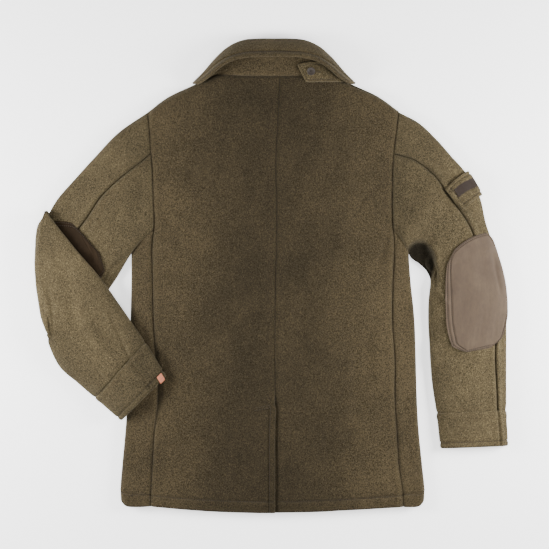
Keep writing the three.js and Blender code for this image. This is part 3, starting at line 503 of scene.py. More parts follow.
def make_object(name, points, faces, material, soft=True):
    """A mesh object in metres from points in millimetres."""
    mesh = bpy.data.meshes.new(name)
    mesh.from_pydata([tuple(p) for p in (np.asarray(points) * MM)], [], faces)
    mesh.update()
    obj = bpy.data.objects.new(name, mesh)
    bpy.context.scene.collection.objects.link(obj)
    for polygon in mesh.polygons:
        polygon.use_smooth = soft
    mesh.materials.append(material)
    return obj


# Rounding of a free edge: how far its faces draw out and sink, as shares of its reach and of half the wall
RIM_PULL = 0.5
RIM_SINK = 0.35


def shell_edges(rows, columns, ring):
    """The free edges of a grid, as loops of point numbers."""
    if ring:
        first = [(columns - 1 - i) % columns for i in range(columns)]
        return [first, [(rows - 1) * columns + i for i in range(columns)]]
    loop = list(range(columns))
    loop += [j * columns + columns - 1 for j in range(1, rows)]
    loop += [(rows - 1) * columns + i for i in range(columns - 2, -1, -1)]
    loop += [j * columns for j in range(rows - 2, 0, -1)]
    return [loop[::-1]]


def cloth_shell(name, surface, us, vs, thickness, facing, material, ring=False, limit=None, normal_at=None,
                rim=0.8):
    """A closed shell: the outer face on the surface, the inner one behind it, with rounded rims.

    surface takes arrays u and v and gives points in millimetres. rim is how far the rounding of a
    free edge reaches in, and 0 leaves the edges square.
    """
    grid_u, grid_v = np.meshgrid(us, vs)
    outer = surface(grid_u, grid_v)
    normal = normal_at(grid_u, grid_v) if normal_at else face_normals(surface, grid_u, grid_v, facing)
    inner = outer - normal * thickness
    if limit:
        inner = limit(inner)
    rows, columns = grid_u.shape
    middle = ((outer + inner) / 2).reshape(-1, 3)
    layers = [outer.reshape(-1, 3), inner.reshape(-1, 3)]
    count = rows * columns
    faces = []

    def quad(a, b, c, d):
        faces.append((a, b, c, d) if facing > 0 else (d, c, b, a))

    spans = columns if ring else columns - 1
    for j in range(rows - 1):
        for i in range(spans):
            a = j * columns + i
            b = j * columns + (i + 1) % columns
            quad(a, b, b + columns, a + columns)
            quad(count + a, count + a + columns, count + b + columns, count + b)
    for loop in shell_edges(rows, columns, ring):
        size = len(loop)
        flat_outer = layers[0]
        out = np.zeros((size, 3))
        for k, a in enumerate(loop):
            tangent = middle[loop[(k + 1) % size]] - middle[loop[k - 1]]
            out[k] = unit(np.cross(tangent, flat_outer[a] - middle[a]) * facing)
        base = sum(len(layer) for layer in layers)
        layers.append(middle[loop])
        for k in range(size):
            n = (k + 1) % size
            a, b = loop[k], loop[n]
            quad(a, b, base + n, base + k)
            quad(base + k, base + n, count + b, count + a)
        if rim:
            pull = min(rim, thickness * 0.45)
            for k, a in enumerate(loop):
                for layer in layers[:2]:
                    layer[a] = layer[a] + out[k] * pull * RIM_PULL - (layer[a] - middle[a]) * RIM_SINK
    return make_object(name, np.concatenate(layers), faces, material)


def spread(start, end, step):
    return np.linspace(start, end, max(2, int(round(abs(end - start) / step)) + 1))


def spreads(*stretches):
    """Places along stretches that follow each other, each with its own step."""
    parts = [spread(*stretch) for stretch in stretches]
    return np.concatenate(parts[:1] + [part[1:] for part in parts[1:]])


def steps(count):
    return np.linspace(0, 1, count + 1)


# Materials

# Distance from the centre, in metres, where the painted shade towards the middle starts to lift
SHADE_START = 0.03


def new_material(name, roughness):
    material = bpy.data.materials.new(name)
    material.use_nodes = True
    shader = material.node_tree.nodes["Principled BSDF"]
    shader.inputs["Roughness"].default_value = roughness
    shader.inputs["Specular IOR Level"].default_value = 0.25
    return material, material.node_tree, shader


def node(tree, kind, **values):
    made = tree.nodes.new(kind)
    for key, item in values.items():
        if key in made.inputs:
            made.inputs[key].default_value = item
        else:
            setattr(made, key, item)
    return made


def noise(tree, coordinates, scale, detail=3.0, roughness=0.6, distortion=0.0):
    made = node(tree, "ShaderNodeTexNoise", Scale=scale, Detail=detail, Roughness=roughness,
                Distortion=distortion)
    tree.links.new(coordinates, made.inputs["Vector"])
    return made.outputs["Fac"]


def ramp(tree, factor, stops):
    made = tree.nodes.new("ShaderNodeValToRGB")
    tree.links.new(factor, made.inputs["Fac"])
    elements = made.color_ramp.elements
    while len(elements) < len(stops):
        elements.new(0.5)
    for element, (place, color) in zip(elements, stops):
        element.position = place
        element.color = (*color, 1)
    return made.outputs["Color"]


def grey_ramp(tree, factor, *stops):
    """A ramp between grey levels, as a mask or as a shade to multiply by."""
    return ramp(tree, factor, [(place, (level, level, level)) for place, level in stops])


def mix_color(tree, factor, a, b, mode="MIX"):
    made = tree.nodes.new("ShaderNodeMix")
    made.data_type = "RGBA"
    made.blend_type = mode
    for socket, item in ((made.inputs[0], factor), (made.inputs[6], a), (made.inputs[7], b)):
        if isinstance(item, bpy.types.NodeSocket):
            tree.links.new(item, socket)
        elif isinstance(item, tuple):
            socket.default_value = (*item, 1)
        else:
            socket.default_value = item
    return made.outputs[2]


def bump(tree, height, strength, distance, before=None):
    made = node(tree, "ShaderNodeBump", Strength=strength, Distance=distance)
    tree.links.new(height, made.inputs["Height"])
    if before is not None:
        tree.links.new(before, made.inputs["Normal"])
    return made.outputs["Normal"]


def object_coordinates(tree, stretch=(1, 1, 1)):
    place = tree.nodes.new("ShaderNodeTexCoord")
    mapping = tree.nodes.new("ShaderNodeMapping")
    mapping.inputs["Scale"].default_value = stretch
    tree.links.new(place.outputs["Object"], mapping.inputs["Vector"])
    return mapping.outputs["Vector"]


def shaded_between(tree, color, distance, low, high, deepest):
    """A colour times a shade that rises from its deepest at one distance to full at another."""
    share = node(tree, "ShaderNodeMapRange", interpolation_type="SMOOTHSTEP")
    for name, item in (("From Min", low), ("From Max", high), ("To Min", deepest), ("To Max", 1.0)):
        share.inputs[name].default_value = item
    tree.links.new(distance, share.inputs["Value"])
    shade = tree.nodes.new("ShaderNodeCombineColor")
    for channel in shade.inputs:
        tree.links.new(share.outputs["Result"], channel)
    return mix_color(tree, 1.0, color, shade.outputs["Color"], "MULTIPLY")


def painted_shade_to_middle(tree, color, middle, reach):
    """A colour with painted shade: at its middle share on the centre line, lifting to full within a reach
    from the centre.
    """
    place = tree.nodes.new("ShaderNodeTexCoord")
    split = tree.nodes.new("ShaderNodeSeparateXYZ")
    tree.links.new(place.outputs["Object"], split.inputs[0])
    out = node(tree, "ShaderNodeMath", operation="ABSOLUTE")
    tree.links.new(split.outputs["X"], out.inputs[0])
    return shaded_between(tree, color, out.outputs[0], SHADE_START, reach, middle)


def painted_hollow_shade(tree, color):
    """A colour darkened by painted shade in the hollow under the right arm."""
    place = tree.nodes.new("ShaderNodeTexCoord")
    mapping = node(tree, "ShaderNodeMapping", vector_type="TEXTURE")
    mapping.inputs["Location"].default_value = (HOLLOW["x"] * MM, HOLLOW["y"] * MM, 0)
    mapping.inputs["Scale"].default_value = (HOLLOW["halfX"] * MM, HOLLOW["halfY"] * MM, 1)
    tree.links.new(place.outputs["Object"], mapping.inputs["Vector"])
    away = node(tree, "ShaderNodeVectorMath", operation="LENGTH")
    tree.links.new(mapping.outputs["Vector"], away.inputs[0])
    distance = away.outputs["Value"]
    return shaded_between(tree, color, distance, HOLLOW["inner"], HOLLOW["outer"], HOLLOW["shade"])


def wool_material(name, dark, light, fleck, middle=1.0, reach=0.24, hollow=False):
    """Felted wool: heathered colour, felt lumps and a fine short nap, with painted shade towards the coat's
    middle and, when hollow is set, painted shade in the hollow under the right arm.
    """
    material, tree, shader = new_material(name, 0.97)
    place = object_coordinates(tree)
    nap = object_coordinates(tree, (1.0, 0.6, 1.0))
    broad = noise(tree, place, 7, 4, 0.6)
    heather = noise(tree, place, 420, 3, 0.7)
    curl = noise(tree, nap, 620, 3, 0.8, 0.6)
    fibre = noise(tree, nap, 1000, 2, 0.75, 0.5)
    base = mix_color(tree, grey_ramp(tree, heather, (0.36, 0), (0.64, 1)), dark, light)
    tone = grey_ramp(tree, broad, (0.3, 0.74), (0.7, 1.22))
    patchy = grey_ramp(tree, noise(tree, place, 24, 3, 0.6), (0.34, 0.86), (0.66, 1.14))
    toned = mix_color(tree, 1.0, mix_color(tree, 1.0, base, tone, "MULTIPLY"), patchy, "MULTIPLY")
    shade = grey_ramp(tree, curl, (0.34, 0.34), (0.5, 1.0), (0.66, 1.75))
    curled = mix_color(tree, 1.0, toned, shade, "MULTIPLY")
    specks = grey_ramp(tree, fibre, (0.55, 0), (0.7, 1))
    flecked = mix_color(tree, specks, curled, fleck)
    middle_shaded = painted_shade_to_middle(tree, flecked, middle, reach)
    tree.links.new(painted_hollow_shade(tree, middle_shaded) if hollow else middle_shaded, shader.inputs["Base Color"])
    lumps = bump(tree, noise(tree, place, 150, 3, 0.6), 0.5, 0.0011)
    felt = bump(tree, curl, 0.9, 0.0010, lumps)
    tree.links.new(bump(tree, fibre, 0.7, 0.0005, felt), shader.inputs["Normal"])
    shader.inputs["Sheen Weight"].default_value = 0.16
    shader.inputs["Sheen Roughness"].default_value = 0.5
    shader.inputs["Sheen Tint"].default_value = (0.62, 0.56, 0.4, 1)
    shader.inputs["Specular IOR Level"].default_value = 0.1
    return material


def patch_material(name, dark, light, sheen=0.12, specular=0.5):
    """Brushed cotton, close to suede: a very fine weave under uneven brushing and soft wear."""
    material, tree, shader = new_material(name, 0.88)
    place = object_coordinates(tree)
    broad = noise(tree, place, 16, 5, 0.6, 0.4)
    brushed = noise(tree, object_coordinates(tree, (1.0, 0.35, 1.0)), 260, 4, 0.7)
    base = mix_color(tree, grey_ramp(tree, broad, (0.3, 0), (0.7, 1)), dark, light)
    rub = grey_ramp(tree, brushed, (0.3, 0.84), (0.7, 1.1))
    tree.links.new(mix_color(tree, 1.0, base, rub, "MULTIPLY"), shader.inputs["Base Color"])
    warp = node(tree, "ShaderNodeTexWave", Scale=420.0, Distortion=1.2, bands_direction="X")
    weft = node(tree, "ShaderNodeTexWave", Scale=420.0, Distortion=1.2, bands_direction="Y")
    tree.links.new(place, warp.inputs["Vector"])
    tree.links.new(place, weft.inputs["Vector"])
    weave = mix_color(tree, 0.5, warp.outputs["Color"], weft.outputs["Color"])
    soft = bump(tree, noise(tree, place, 60, 3, 0.5), 0.35, 0.0008)
    threads = bump(tree, weave, 0.16, 0.00025, soft)
    tree.links.new(bump(tree, brushed, 0.3, 0.0003, threads), shader.inputs["Normal"])
    shader.inputs["Sheen Weight"].default_value = sheen
    shader.inputs["Sheen Roughness"].default_value = 0.5
    shader.inputs["Specular IOR Level"].default_value = specular
    return material


def label_material():
    """A tight satin ribbon weave, bare."""
    material, tree, shader = new_material("label_weave", 0.7)
    place = object_coordinates(tree)
    base = mix_color(tree, noise(tree, place, 240, 3), (0.012, 0.0075, 0.0052), (0.02, 0.013, 0.009))
    tree.links.new(base, shader.inputs["Base Color"])
    ribs = node(tree, "ShaderNodeTexWave", Scale=520.0, Distortion=0.4, bands_direction="DIAGONAL")
    tree.links.new(place, ribs.inputs["Vector"])
    tree.links.new(bump(tree, ribs.outputs["Color"], 0.35, 0.0002), shader.inputs["Normal"])
    shader.inputs["Specular IOR Level"].default_value = 0.15
    return material


def leather_material():
    """Smooth copper leather with a fine grain and a mottled tone."""
    material, tree, shader = new_material("tag_leather", 0.55)
    place = object_coordinates(tree)
    base = mix_color(tree, noise(tree, place, 150, 4), (0.27, 0.085, 0.042), (0.4, 0.145, 0.08))
    tree.links.new(base, shader.inputs["Base Color"])
    grain = node(tree, "ShaderNodeTexVoronoi", Scale=1400.0)
    tree.links.new(place, grain.inputs["Vector"])
    tree.links.new(bump(tree, grain.outputs["Distance"], 0.3, 0.0002), shader.inputs["Normal"])
    return material


def horn_material():
    """Dark polished horn-like resin with faint streaks."""
    material, tree, shader = new_material("button_horn", 0.55)
    streaks = noise(tree, object_coordinates(tree, (1.0, 0.2, 1.0)), 170, 4, 0.6, 1.4)
    base = ramp(tree, streaks, [(0.3, (0.012, 0.009, 0.007)), (0.7, (0.035, 0.026, 0.02))])
    tree.links.new(base, shader.inputs["Base Color"])
    tree.links.new(bump(tree, streaks, 0.15, 0.0002), shader.inputs["Normal"])
    shader.inputs["Specular IOR Level"].default_value = 0.3
    return material


def thread_material(name, dark, light):
    material, tree, shader = new_material(name, 0.7)
    twist = node(tree, "ShaderNodeTexWave", Scale=700.0, Distortion=0.5, bands_direction="DIAGONAL")
    tree.links.new(object_coordinates(tree), twist.inputs["Vector"])
    tree.links.new(mix_color(tree, twist.outputs["Fac"], dark, light), shader.inputs["Base Color"])
    tree.links.new(bump(tree, twist.outputs["Fac"], 0.3, 0.0001), shader.inputs["Normal"])
    return material


def floor_material():
    material, tree, shader = new_material("pale_floor", 0.9)
    shade = mix_color(tree, noise(tree, object_coordinates(tree), 3, 2), (0.9, 0.9, 0.9), (0.93, 0.93, 0.93))
    tree.links.new(shade, shader.inputs["Base Color"])
    shader.inputs["Emission Color"].default_value = (1, 1, 1, 1)
    shader.inputs["Emission Strength"].default_value = 1.1
    return material


# Dark, light and fleck colours of the wool. The sleeves' tones are the body's made lighter, as painted light.
BODY_TONES = [(0.0165, 0.0122, 0.0058), (0.046, 0.034, 0.0168), (0.105, 0.081, 0.046)]
LIT_SLEEVE_TONES = [(0.0235, 0.018, 0.0088), (0.065, 0.0495, 0.025), (0.148, 0.118, 0.066)]
WOOL = wool_material("wool", *BODY_TONES)
# The back's wool has painted shade, darker towards the back's middle.
BACK_WOOL = wool_material("back_wool", *BODY_TONES, middle=0.58)
# The sleeves' wool has painted light in its lighter tones, painted shade towards the coat's middle and
# painted shade in the hollow under the right arm.
SLEEVE_WOOL = wool_material("sleeve_wool", *LIT_SLEEVE_TONES, middle=0.4, reach=0.38, hollow=True)
PATCH = patch_material("patch_canvas", (0.044, 0.027, 0.0148), (0.064, 0.0416, 0.023), sheen=0.04)
# The tab takes the sleeves' lighter tones, as painted light.
TAB_WOOL = wool_material("tab_wool", *LIT_SLEEVE_TONES)
SHADED_PATCH = patch_material("shaded_patch", (0.0105, 0.0058, 0.0022), (0.0185, 0.0108, 0.0045), sheen=0.0,
                              specular=0.12)
LABEL_CLOTH = label_material()
LEATHER = leather_material()
HORN = horn_material()
THREAD = thread_material("thread", (0.009, 0.0065, 0.0035), (0.026, 0.019, 0.01))
PATCH_THREAD = thread_material("patch_thread", (0.016, 0.011, 0.007), (0.04, 0.029, 0.018))


def stands_for(obj, slot, *nodes):
    """The piece rides on the coat and stands for its solids, which it hides; slot is not used."""
    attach(obj, BODY)
    if nodes:
        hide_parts(*nodes)
    return obj


# Stitches

def stitch_shape(length, radius):
    """Points and faces of one stitch that bends into the cloth at both ends, along +X with +Z up."""
    points, faces = [], []
    rings = [(-0.5, -0.9, 0.5), (-0.3, 0.35, 1.0), (0.0, 0.6, 1.0), (0.3, 0.35, 1.0), (0.5, -0.9, 0.5)]
    sides = 6
    for along, lift, size in rings:
        for k in range(sides):
            angle = 2 * math.pi * k / sides
            up = radius * (lift + size * math.sin(angle))
            points.append((along * length, radius * size * math.cos(angle), up))
    for j in range(len(rings) - 1):
        for k in range(sides):
            a = j * sides + k
            b = j * sides + (k + 1) % sides
            faces.append((a, b, b + sides, a + sides))
    faces.append(tuple(range(sides))[::-1])
    faces.append(tuple(range((len(rings) - 1) * sides, len(rings) * sides)))
    return np.array(points), faces


# How far to both sides a stitch takes its direction from, in millimetres
STITCH_REACH = 0.8


def stitch_row(name, path, normals, material, slot, pitch=4.2, length=3.3, radius=0.6):
    """Separate stitches along a path of points on the cloth, as one object."""
    path = np.asarray(path)
    normals = np.asarray(normals)
    lengths = np.concatenate([[0], np.cumsum(np.linalg.norm(np.diff(path, axis=0), axis=1))])
    shape, shape_faces = stitch_shape(length, radius)
    points, faces = [], []

    def found(values, place):
        return np.array([np.interp(place, lengths, values[:, k]) for k in range(3)])

    for place in np.arange(pitch / 2, lengths[-1], pitch):
        centre = found(path, place)
        along = unit(found(path, place + STITCH_REACH) - found(path, place - STITCH_REACH))
        side = unit(np.cross(found(normals, place), along))
        up = np.cross(along, side)
        base = len(points)
        for p in shape:
            points.append(centre + along * p[0] + side * p[1] + up * p[2])
        faces += [tuple(base + i for i in face) for face in shape_faces]
    obj = make_object(name, points, faces, material)
    return stands_for(obj, slot)


def stitches_on(name, surface, uv, facing, material=None, slot="wool", **sizes):
    """Stitches along a list of (u, v) places on a surface."""
    uv = np.asarray(uv, float)
    points = surface(uv[:, 0], uv[:, 1])
    normals = face_normals(surface, uv[:, 0], uv[:, 1], facing)
    return stitch_row(name, points, normals, material or THREAD, slot, **sizes)


# Body

def vent_groove(inside):
    """Groove of the stitches beside the vent's free edge, and the edge's own rounding."""
    return 1.8 * bell(inside + 9.5, 1.6) + 1.4 * bell(inside - VENT_LAP, 2.2)


# Share of the right back's width that goes to the vent's underlap
UNDERLAP_SHARE = 0.12


def back_surface(side, shift, underlap):
    def surface(u, v):
        tip = body_at(SHOULDER_Y, side["seam"])
        top_x = mix(body_at(NECK_Y, "centre"), tip, u)
        y = body_row_y(hem_y(top_x), back_top_y(top_x) - SEAM / 2, v)
        centre = body_at(y, "centre") + shift
        seam = body_at(y, side["seam"]) - side["sign"] * SEAM / 2
        below_vent = smooth((VENT_TOP_Y - y) / 8)
        if underlap:
            free = centre - VENT_UNDERLAP * below_vent
            lap, rest = u / UNDERLAP_SHARE, (u - UNDERLAP_SHARE) / (1 - UNDERLAP_SHARE)
            x = np.where(u < UNDERLAP_SHARE, mix(free, centre + 3, lap), mix(centre + 3, seam, rest))
            sunk = smooth((centre + 13 - x) / 9) * smooth((VENT_TOP_Y + 24 - y) / 23)
        else:
            x = mix(centre + VENT_LAP * below_vent, seam, u)
            sunk = 0
        neck = NECK_DIP * bell(back_top_y(x) - y, 2.6) * smooth((NECK_HALF - np.abs(x - MIDDLE_X)) / 12)
        z = back_height(x, y) - (CLOTH + VENT_SPACE) * sunk - neck
        at_centre = seam_dip(x - centre, *CENTRE_SEAM) * (1 - below_vent)
        at_side = seam_dip(x - seam, *SIDE_BACK_SEAM)
        if not underlap:
            at_centre = at_centre + below_vent * (1.8 * bell(x - centre, 20) - vent_groove(x - centre))
        relief = back_relief(x, y) * (1 - 0.7 * sunk)
        shoulder = smooth((back_top_y(x) - y) / 9)
        return np.stack([x, y, z + relief * shoulder + at_centre * shoulder + at_side * shoulder], -1)

    return surface


def above_front(points):
    points[..., 2] = np.maximum(points[..., 2], EDGE_HALF + SEAM / 2)
    return points


def body_rows(step, fine=None):
    """Rows of a body panel from hem to neck, closer together over the hem when fine is given."""
    over_hem = 30 / BODY_SPAN
    lower = spread(0, 1, step / BODY_SPAN)
    if fine:
        lower = spreads((0, over_hem, fine / BODY_SPAN), (over_hem, 1, step / BODY_SPAN))
    upper = 1 + spreads((0, 0.9, step / 270), (0.9, 1, step / 600))[1:]
    return np.concatenate([lower, upper])


def make_backs():
    left = back_surface(LEFT, -SEAM / 2, False)
    right = back_surface(RIGHT, SEAM / 2, True)
    columns = spreads((0, 0.065, 0.0045), (0.065, 0.94, 0.0165), (0.94, 1, 0.007))
    folded = spreads((0, UNDERLAP_SHARE, 0.02), (UNDERLAP_SHARE, 0.17, 0.005), (0.17, 0.94, 0.0165),
                     (0.94, 1, 0.007))
    rows = body_rows(4.0, 1.2)
    back_left = cloth_shell("cloth_back_left", left, columns, rows, CLOTH, -1, BACK_WOOL, limit=above_front)
    back_right = cloth_shell("cloth_back_right", right, folded, rows, CLOTH, 1, BACK_WOOL, limit=above_front)
    stands_for(back_left, "wool", "back_left")
    stands_for(back_right, "wool", "back_right")
    return left, right


def stitch_backs(left, right):
    for word, surface, start, facing in (("left", left, 0.01, -1), ("right", right, 0.13, 1)):
        hem = [(u, HEM_STITCH / BODY_SPAN) for u in np.linspace(start, 0.995, 90)]
        stitches_on("hem_stitches_" + word, surface, hem, facing)
    top = (VENT_TOP_Y - HEM_Y) / BODY_SPAN
    edge = [(0.045, v) for v in np.linspace(0.004, top, 90)]
    stitches_on("vent_edge_stitches", left, edge, -1)
    for name, drop in (("vent_top_stitches_a", 0.0), ("vent_top_stitches_b", 0.0085)):
        slope = [(mix(0.045, 0.175, t), top - 0.001 - drop - 0.011 * t) for t in np.linspace(0, 1, 20)]
        stitches_on(name, left, slope, -1)


# Shares of a side panel's width where it turns from the back to the front
TURN_START = 2 / 9
TURN_END = 7 / 9


def side_surface(side):
    def surface(w, v):
        angle = np.radians(mix(90, -90, np.clip((w - TURN_START) / (TURN_END - TURN_START), 0, 1)))
        flat = np.where(w < TURN_START, 1 - w / TURN_START, np.maximum(0, (w - TURN_END) / (1 - TURN_END)))
        seam_hem = hem_y(body_at(SHOULDER_Y, side["seam"]))
        y_middle = mix(seam_hem, ARMPIT_Y, v)
        width = np.abs(body_at(y_middle, side["edge"]) - body_at(y_middle, side["seam"])) - SEAM / 2
        inset = EDGE_RUN * (1 - np.cos(angle)) + flat * (width - EDGE_RUN)
        low = seam_hem + HEM_CORNER * (1 - edge_share(inset))
        foot = np.minimum(ARMPIT_Y + ARMHOLE_FOOT * inset / foot_width(side), FOOT_Y)
        top = np.where(flat >= 0.9999, FOOT_Y, foot)
        y = mix(low, top - SEAM / 2, v)
        edge = body_at(y, side["edge"])
        seam = body_at(y, side["seam"]) + side["sign"] * SEAM / 2
        run = np.abs(edge - seam)
        distance = np.minimum(EDGE_RUN * (1 - np.cos(angle)) + flat * (run - EDGE_RUN), run)
        x = edge - side["sign"] * distance
        full = back_height(edge - side["sign"] * np.maximum(distance, EDGE_RUN), y)
        upper = mix(EDGE_HALF, full, np.sin(angle))
        lower = EDGE_HALF * (1 + np.sin(angle))
        z = np.where(angle >= 0, upper, lower)
        above = np.sin(np.maximum(angle, 0))
        armhole = smooth((1 - v) * 30)
        relief = (back_relief(x, y) + seam_dip(run - distance, *PANEL_SEAM)) * above * armhole
        return np.stack([x, y, z + relief], -1)

    return surface


def make_side(side, name):
    surface = side_surface(side)
    columns = spreads((0, TURN_START, 0.028), (TURN_START, TURN_END, 0.03), (TURN_END, 1, 0.04))
    rows = spreads((0, 0.065, 0.0026), (0.065, 1, 0.009))
    shell = cloth_shell("cloth_" + name, surface, columns, rows, CLOTH, side["sign"], WOOL)
    stands_for(shell, "wool", name)
    hem = [(w, HEM_STITCH / (ARMPIT_Y - HEM_Y)) for w in np.linspace(0.01, 0.6, 40)]
    stitches_on("hem_stitches_" + name, surface, hem, side["sign"])


def lapel_distance(x, y):
    """Distance outside the lapel's outline, or 0 within it and its margin."""
    inside = np.zeros(x.shape, bool)
    nearest = np.full(x.shape, 1e9)
    for i, (ax, ay) in enumerate(LAPEL_LEAF):
        bx, by = LAPEL_LEAF[(i + 1) % len(LAPEL_LEAF)]
        crosses = ((ay > y) != (by > y)) & (x < ax + (y - ay) * (bx - ax) / ((by - ay) or 1e-9))
        inside ^= crosses
        t = np.clip(((x - ax) * (bx - ax) + (y - ay) * (by - ay)) / ((bx - ax) ** 2 + (by - ay) ** 2), 0, 1)
        nearest = np.minimum(nearest, np.hypot(x - mix(ax, bx, t), y - mix(ay, by, t)))
    return np.where(inside, 0, np.maximum(0, nearest - LAPEL_MARGIN))


def front_lift(x, y):
    lift = np.zeros(x.shape)
    for row_y in FRONT_BUTTON["rowsY"]:
        for sign in (-1, 1):
            away = np.hypot(x - sign * FRONT_BUTTON["columnX"], y - row_y)
            reach = BUTTON_DIMPLE["reach"] - BUTTON_DIMPLE["flat"]
            lift = np.maximum(lift, BUTTON_DIMPLE["height"] * smooth((BUTTON_DIMPLE["reach"] - away) / reach))
    return np.maximum(lift, (CLOTH + 0.5) * smooth(1 - lapel_distance(np.abs(x), y) / LAPEL_REACH))


def front_surface(side, layer):
    sign = side["sign"]
    inner = -sign * OVERLAP_HALF

    def surface(u, v):
        top_x = mix(inner, body_at(SHOULDER_Y, side["seam"]), u)
        neckward = np.clip((NECK_HALF - sign * (top_x - MIDDLE_X)) / 100, 0, 1)
        shoulder_x = MIDDLE_X + sign * np.maximum(sign * (top_x - MIDDLE_X), NECK_HALF)
        top = back_top_y(shoulder_x) - FRONT_NECK_DROP * smooth(neckward) - SEAM / 2
        y = body_row_y(hem_y(top_x), top, v)
        x = mix(inner, body_at(y, side["seam"]) - sign * SEAM / 2, u)
        over = layer * (CLOTH + LAYER_SPACE) * smooth((OVERLAP_HALF + 34 - sign * x) / 28)
        roll = np.where(sign * (x - MIDDLE_X) > NECK_HALF - 14, shoulder_share(x, y), 1)
        rise = (EDGE_HALF - 2.4) * (1 - roll)
        lift = np.maximum(front_lift(x, y) + over, rise)
        wave = 0.35 * (1 + ripple(x, y, 60, 5)) * smooth((np.abs(x) - 20) / 40)
        wave = wave * smooth((back_top_y(x) - y) / 30)
        return np.stack([x, y, lift + wave], -1)

    return surface


def make_front(side, name, layer):
    surface = front_surface(side, layer)
    columns = spread(0, 1, 0.015)
    shell = cloth_shell("cloth_" + name, surface, columns, body_rows(5.5), CLOTH, -side["sign"], WOOL)
    stands_for(shell, "wool", name)
    hem = [(u, HEM_STITCH / BODY_SPAN) for u in np.linspace(0.01, 0.99, 90)]
    stitches_on("hem_stitches_" + name, surface, hem, -side["sign"])
    edge = [(0.028, v) for v in np.linspace(0.01, 1.75, 200)]
    stitches_on("edge_stitches_" + name, surface, edge, -side["sign"])


# Sleeves

# Half a sleeve's width and the run of one row, in the plane that its creases are laid out on
HALF_SLEEVE = 95.0
ROW_RUN = 42.0


def sleeve_at(sleeve, row, column):
    return value(sleeve["rows"], "row", row, column)


# Rows that the fold reaches beyond its ends, and how narrow it is pinched over its outer share
FOLD_REACH = 1.6
FOLD_PINCH = 0.25
PINCH_SHARE = 0.12


def fold_nearness(sleeve, row):
    if sleeve is RIGHT_SLEEVE:
        return np.zeros(np.shape(row))
    away = np.maximum(np.maximum(FOLD_ROW - row, row - FOLD_ROW - FOLD_STEPS), 0)
    return smooth(1 - away / FOLD_REACH)


def tube_point(sleeve, row, angle):
    """A point of a sleeve's flat tube, before it is joined to the armhole."""
    row, angle = np.broadcast_arrays(np.asarray(row, float), np.asarray(angle, float))

    def at(column):
        return sleeve_at(sleeve, row, column)

    rad = np.radians(angle)
    u = np.cos(rad)
    share = (1 - u) / 2
    sine = np.sin(rad)
    roll = np.minimum(1, ROLL_GAIN * np.abs(sine) ** ROLL_POWER)
    crown = np.where(sine > 0, at("back"), at("front")) * sine * sine
    half = at("half")
    offset = np.sign(sine) * (half * roll + crown)
    turn = np.radians(at("turn"))
    bend = np.maximum(0, np.cos(turn))
    middle = half + mix(at("low"), at("innerLow"), share ** at("sag"))
    pinch = mix(FOLD_PINCH, 1, smooth(share / PINCH_SHARE))
    out = (FOLD_HALF + FOLD_SPACE / 2) * bend * pinch + FOLD_BOW * fold_nearness(sleeve, row) * (1 - u * u)
    x = mix(at("outerX"), at("innerX"), share) + sleeve["side"]["sign"] * (out - offset * bend)
    y = mix(at("outerY"), at("innerY"), share)
    return np.stack([x, y, middle - offset * np.sin(turn)], -1)


def head_point(sleeve, angle):
    """Where a sleeve's first ring meets the body."""
    side = sleeve["side"]
    sign = side["sign"]
    rows = sleeve["rows"]
    share = (1 - np.cos(np.radians(angle))) / 2
    y = mix(rows["outerY"][0], rows["innerY"][0], share)
    rise = np.clip((y - ARMPIT_Y) / ARMHOLE_FOOT, 0, 1)
    edge = body_at(y, side["edge"])
    seam = body_at(y, side["seam"])
    foot = edge - sign * foot_width(side) * rise
    x = np.where((rise < 1) & (sign * (foot - seam) > 0), foot, seam)
    top = back_height(x, y)
    lowered = np.minimum(1, (top - EDGE_HALF) / EDGE_HALF)
    z = np.where(np.sin(np.radians(angle)) >= 0, top, EDGE_HALF * (1 - lowered))
    return np.stack([x + sign * 2.5 * SEAM, y, z], -1)


def plain_sleeve(sleeve, row, angle):
    point = tube_point(sleeve, row, angle)
    fade = (1 - smooth(np.maximum(row, 0) / HEAD_FADE_ROWS))[..., None]
    shift = head_point(sleeve, angle) - tube_point(sleeve, np.zeros(np.shape(angle)), angle)
    point = point + shift * fade
    point[..., 2] = np.maximum(point[..., 2], 0)
    return point


def tube_normal(sleeve, row, angle):
    def surface(turn, along):
        return tube_point(sleeve, along, turn * 360)

    return face_normals(surface, np.asarray(angle) / 360, np.asarray(row, float), sleeve["side"]["sign"])


def seam_angle(sleeve, row):
    return np.degrees(np.arccos(1 - 2 * sleeve_at(sleeve, row, "seam")))


def across_sleeve(angle):
    """Millimetres across a sleeve from its outer edge, below zero on its other face."""
    return np.where(angle >= 0, 1.0, -1.0) * (1 - np.cos(np.radians(angle))) * HALF_SLEEVE


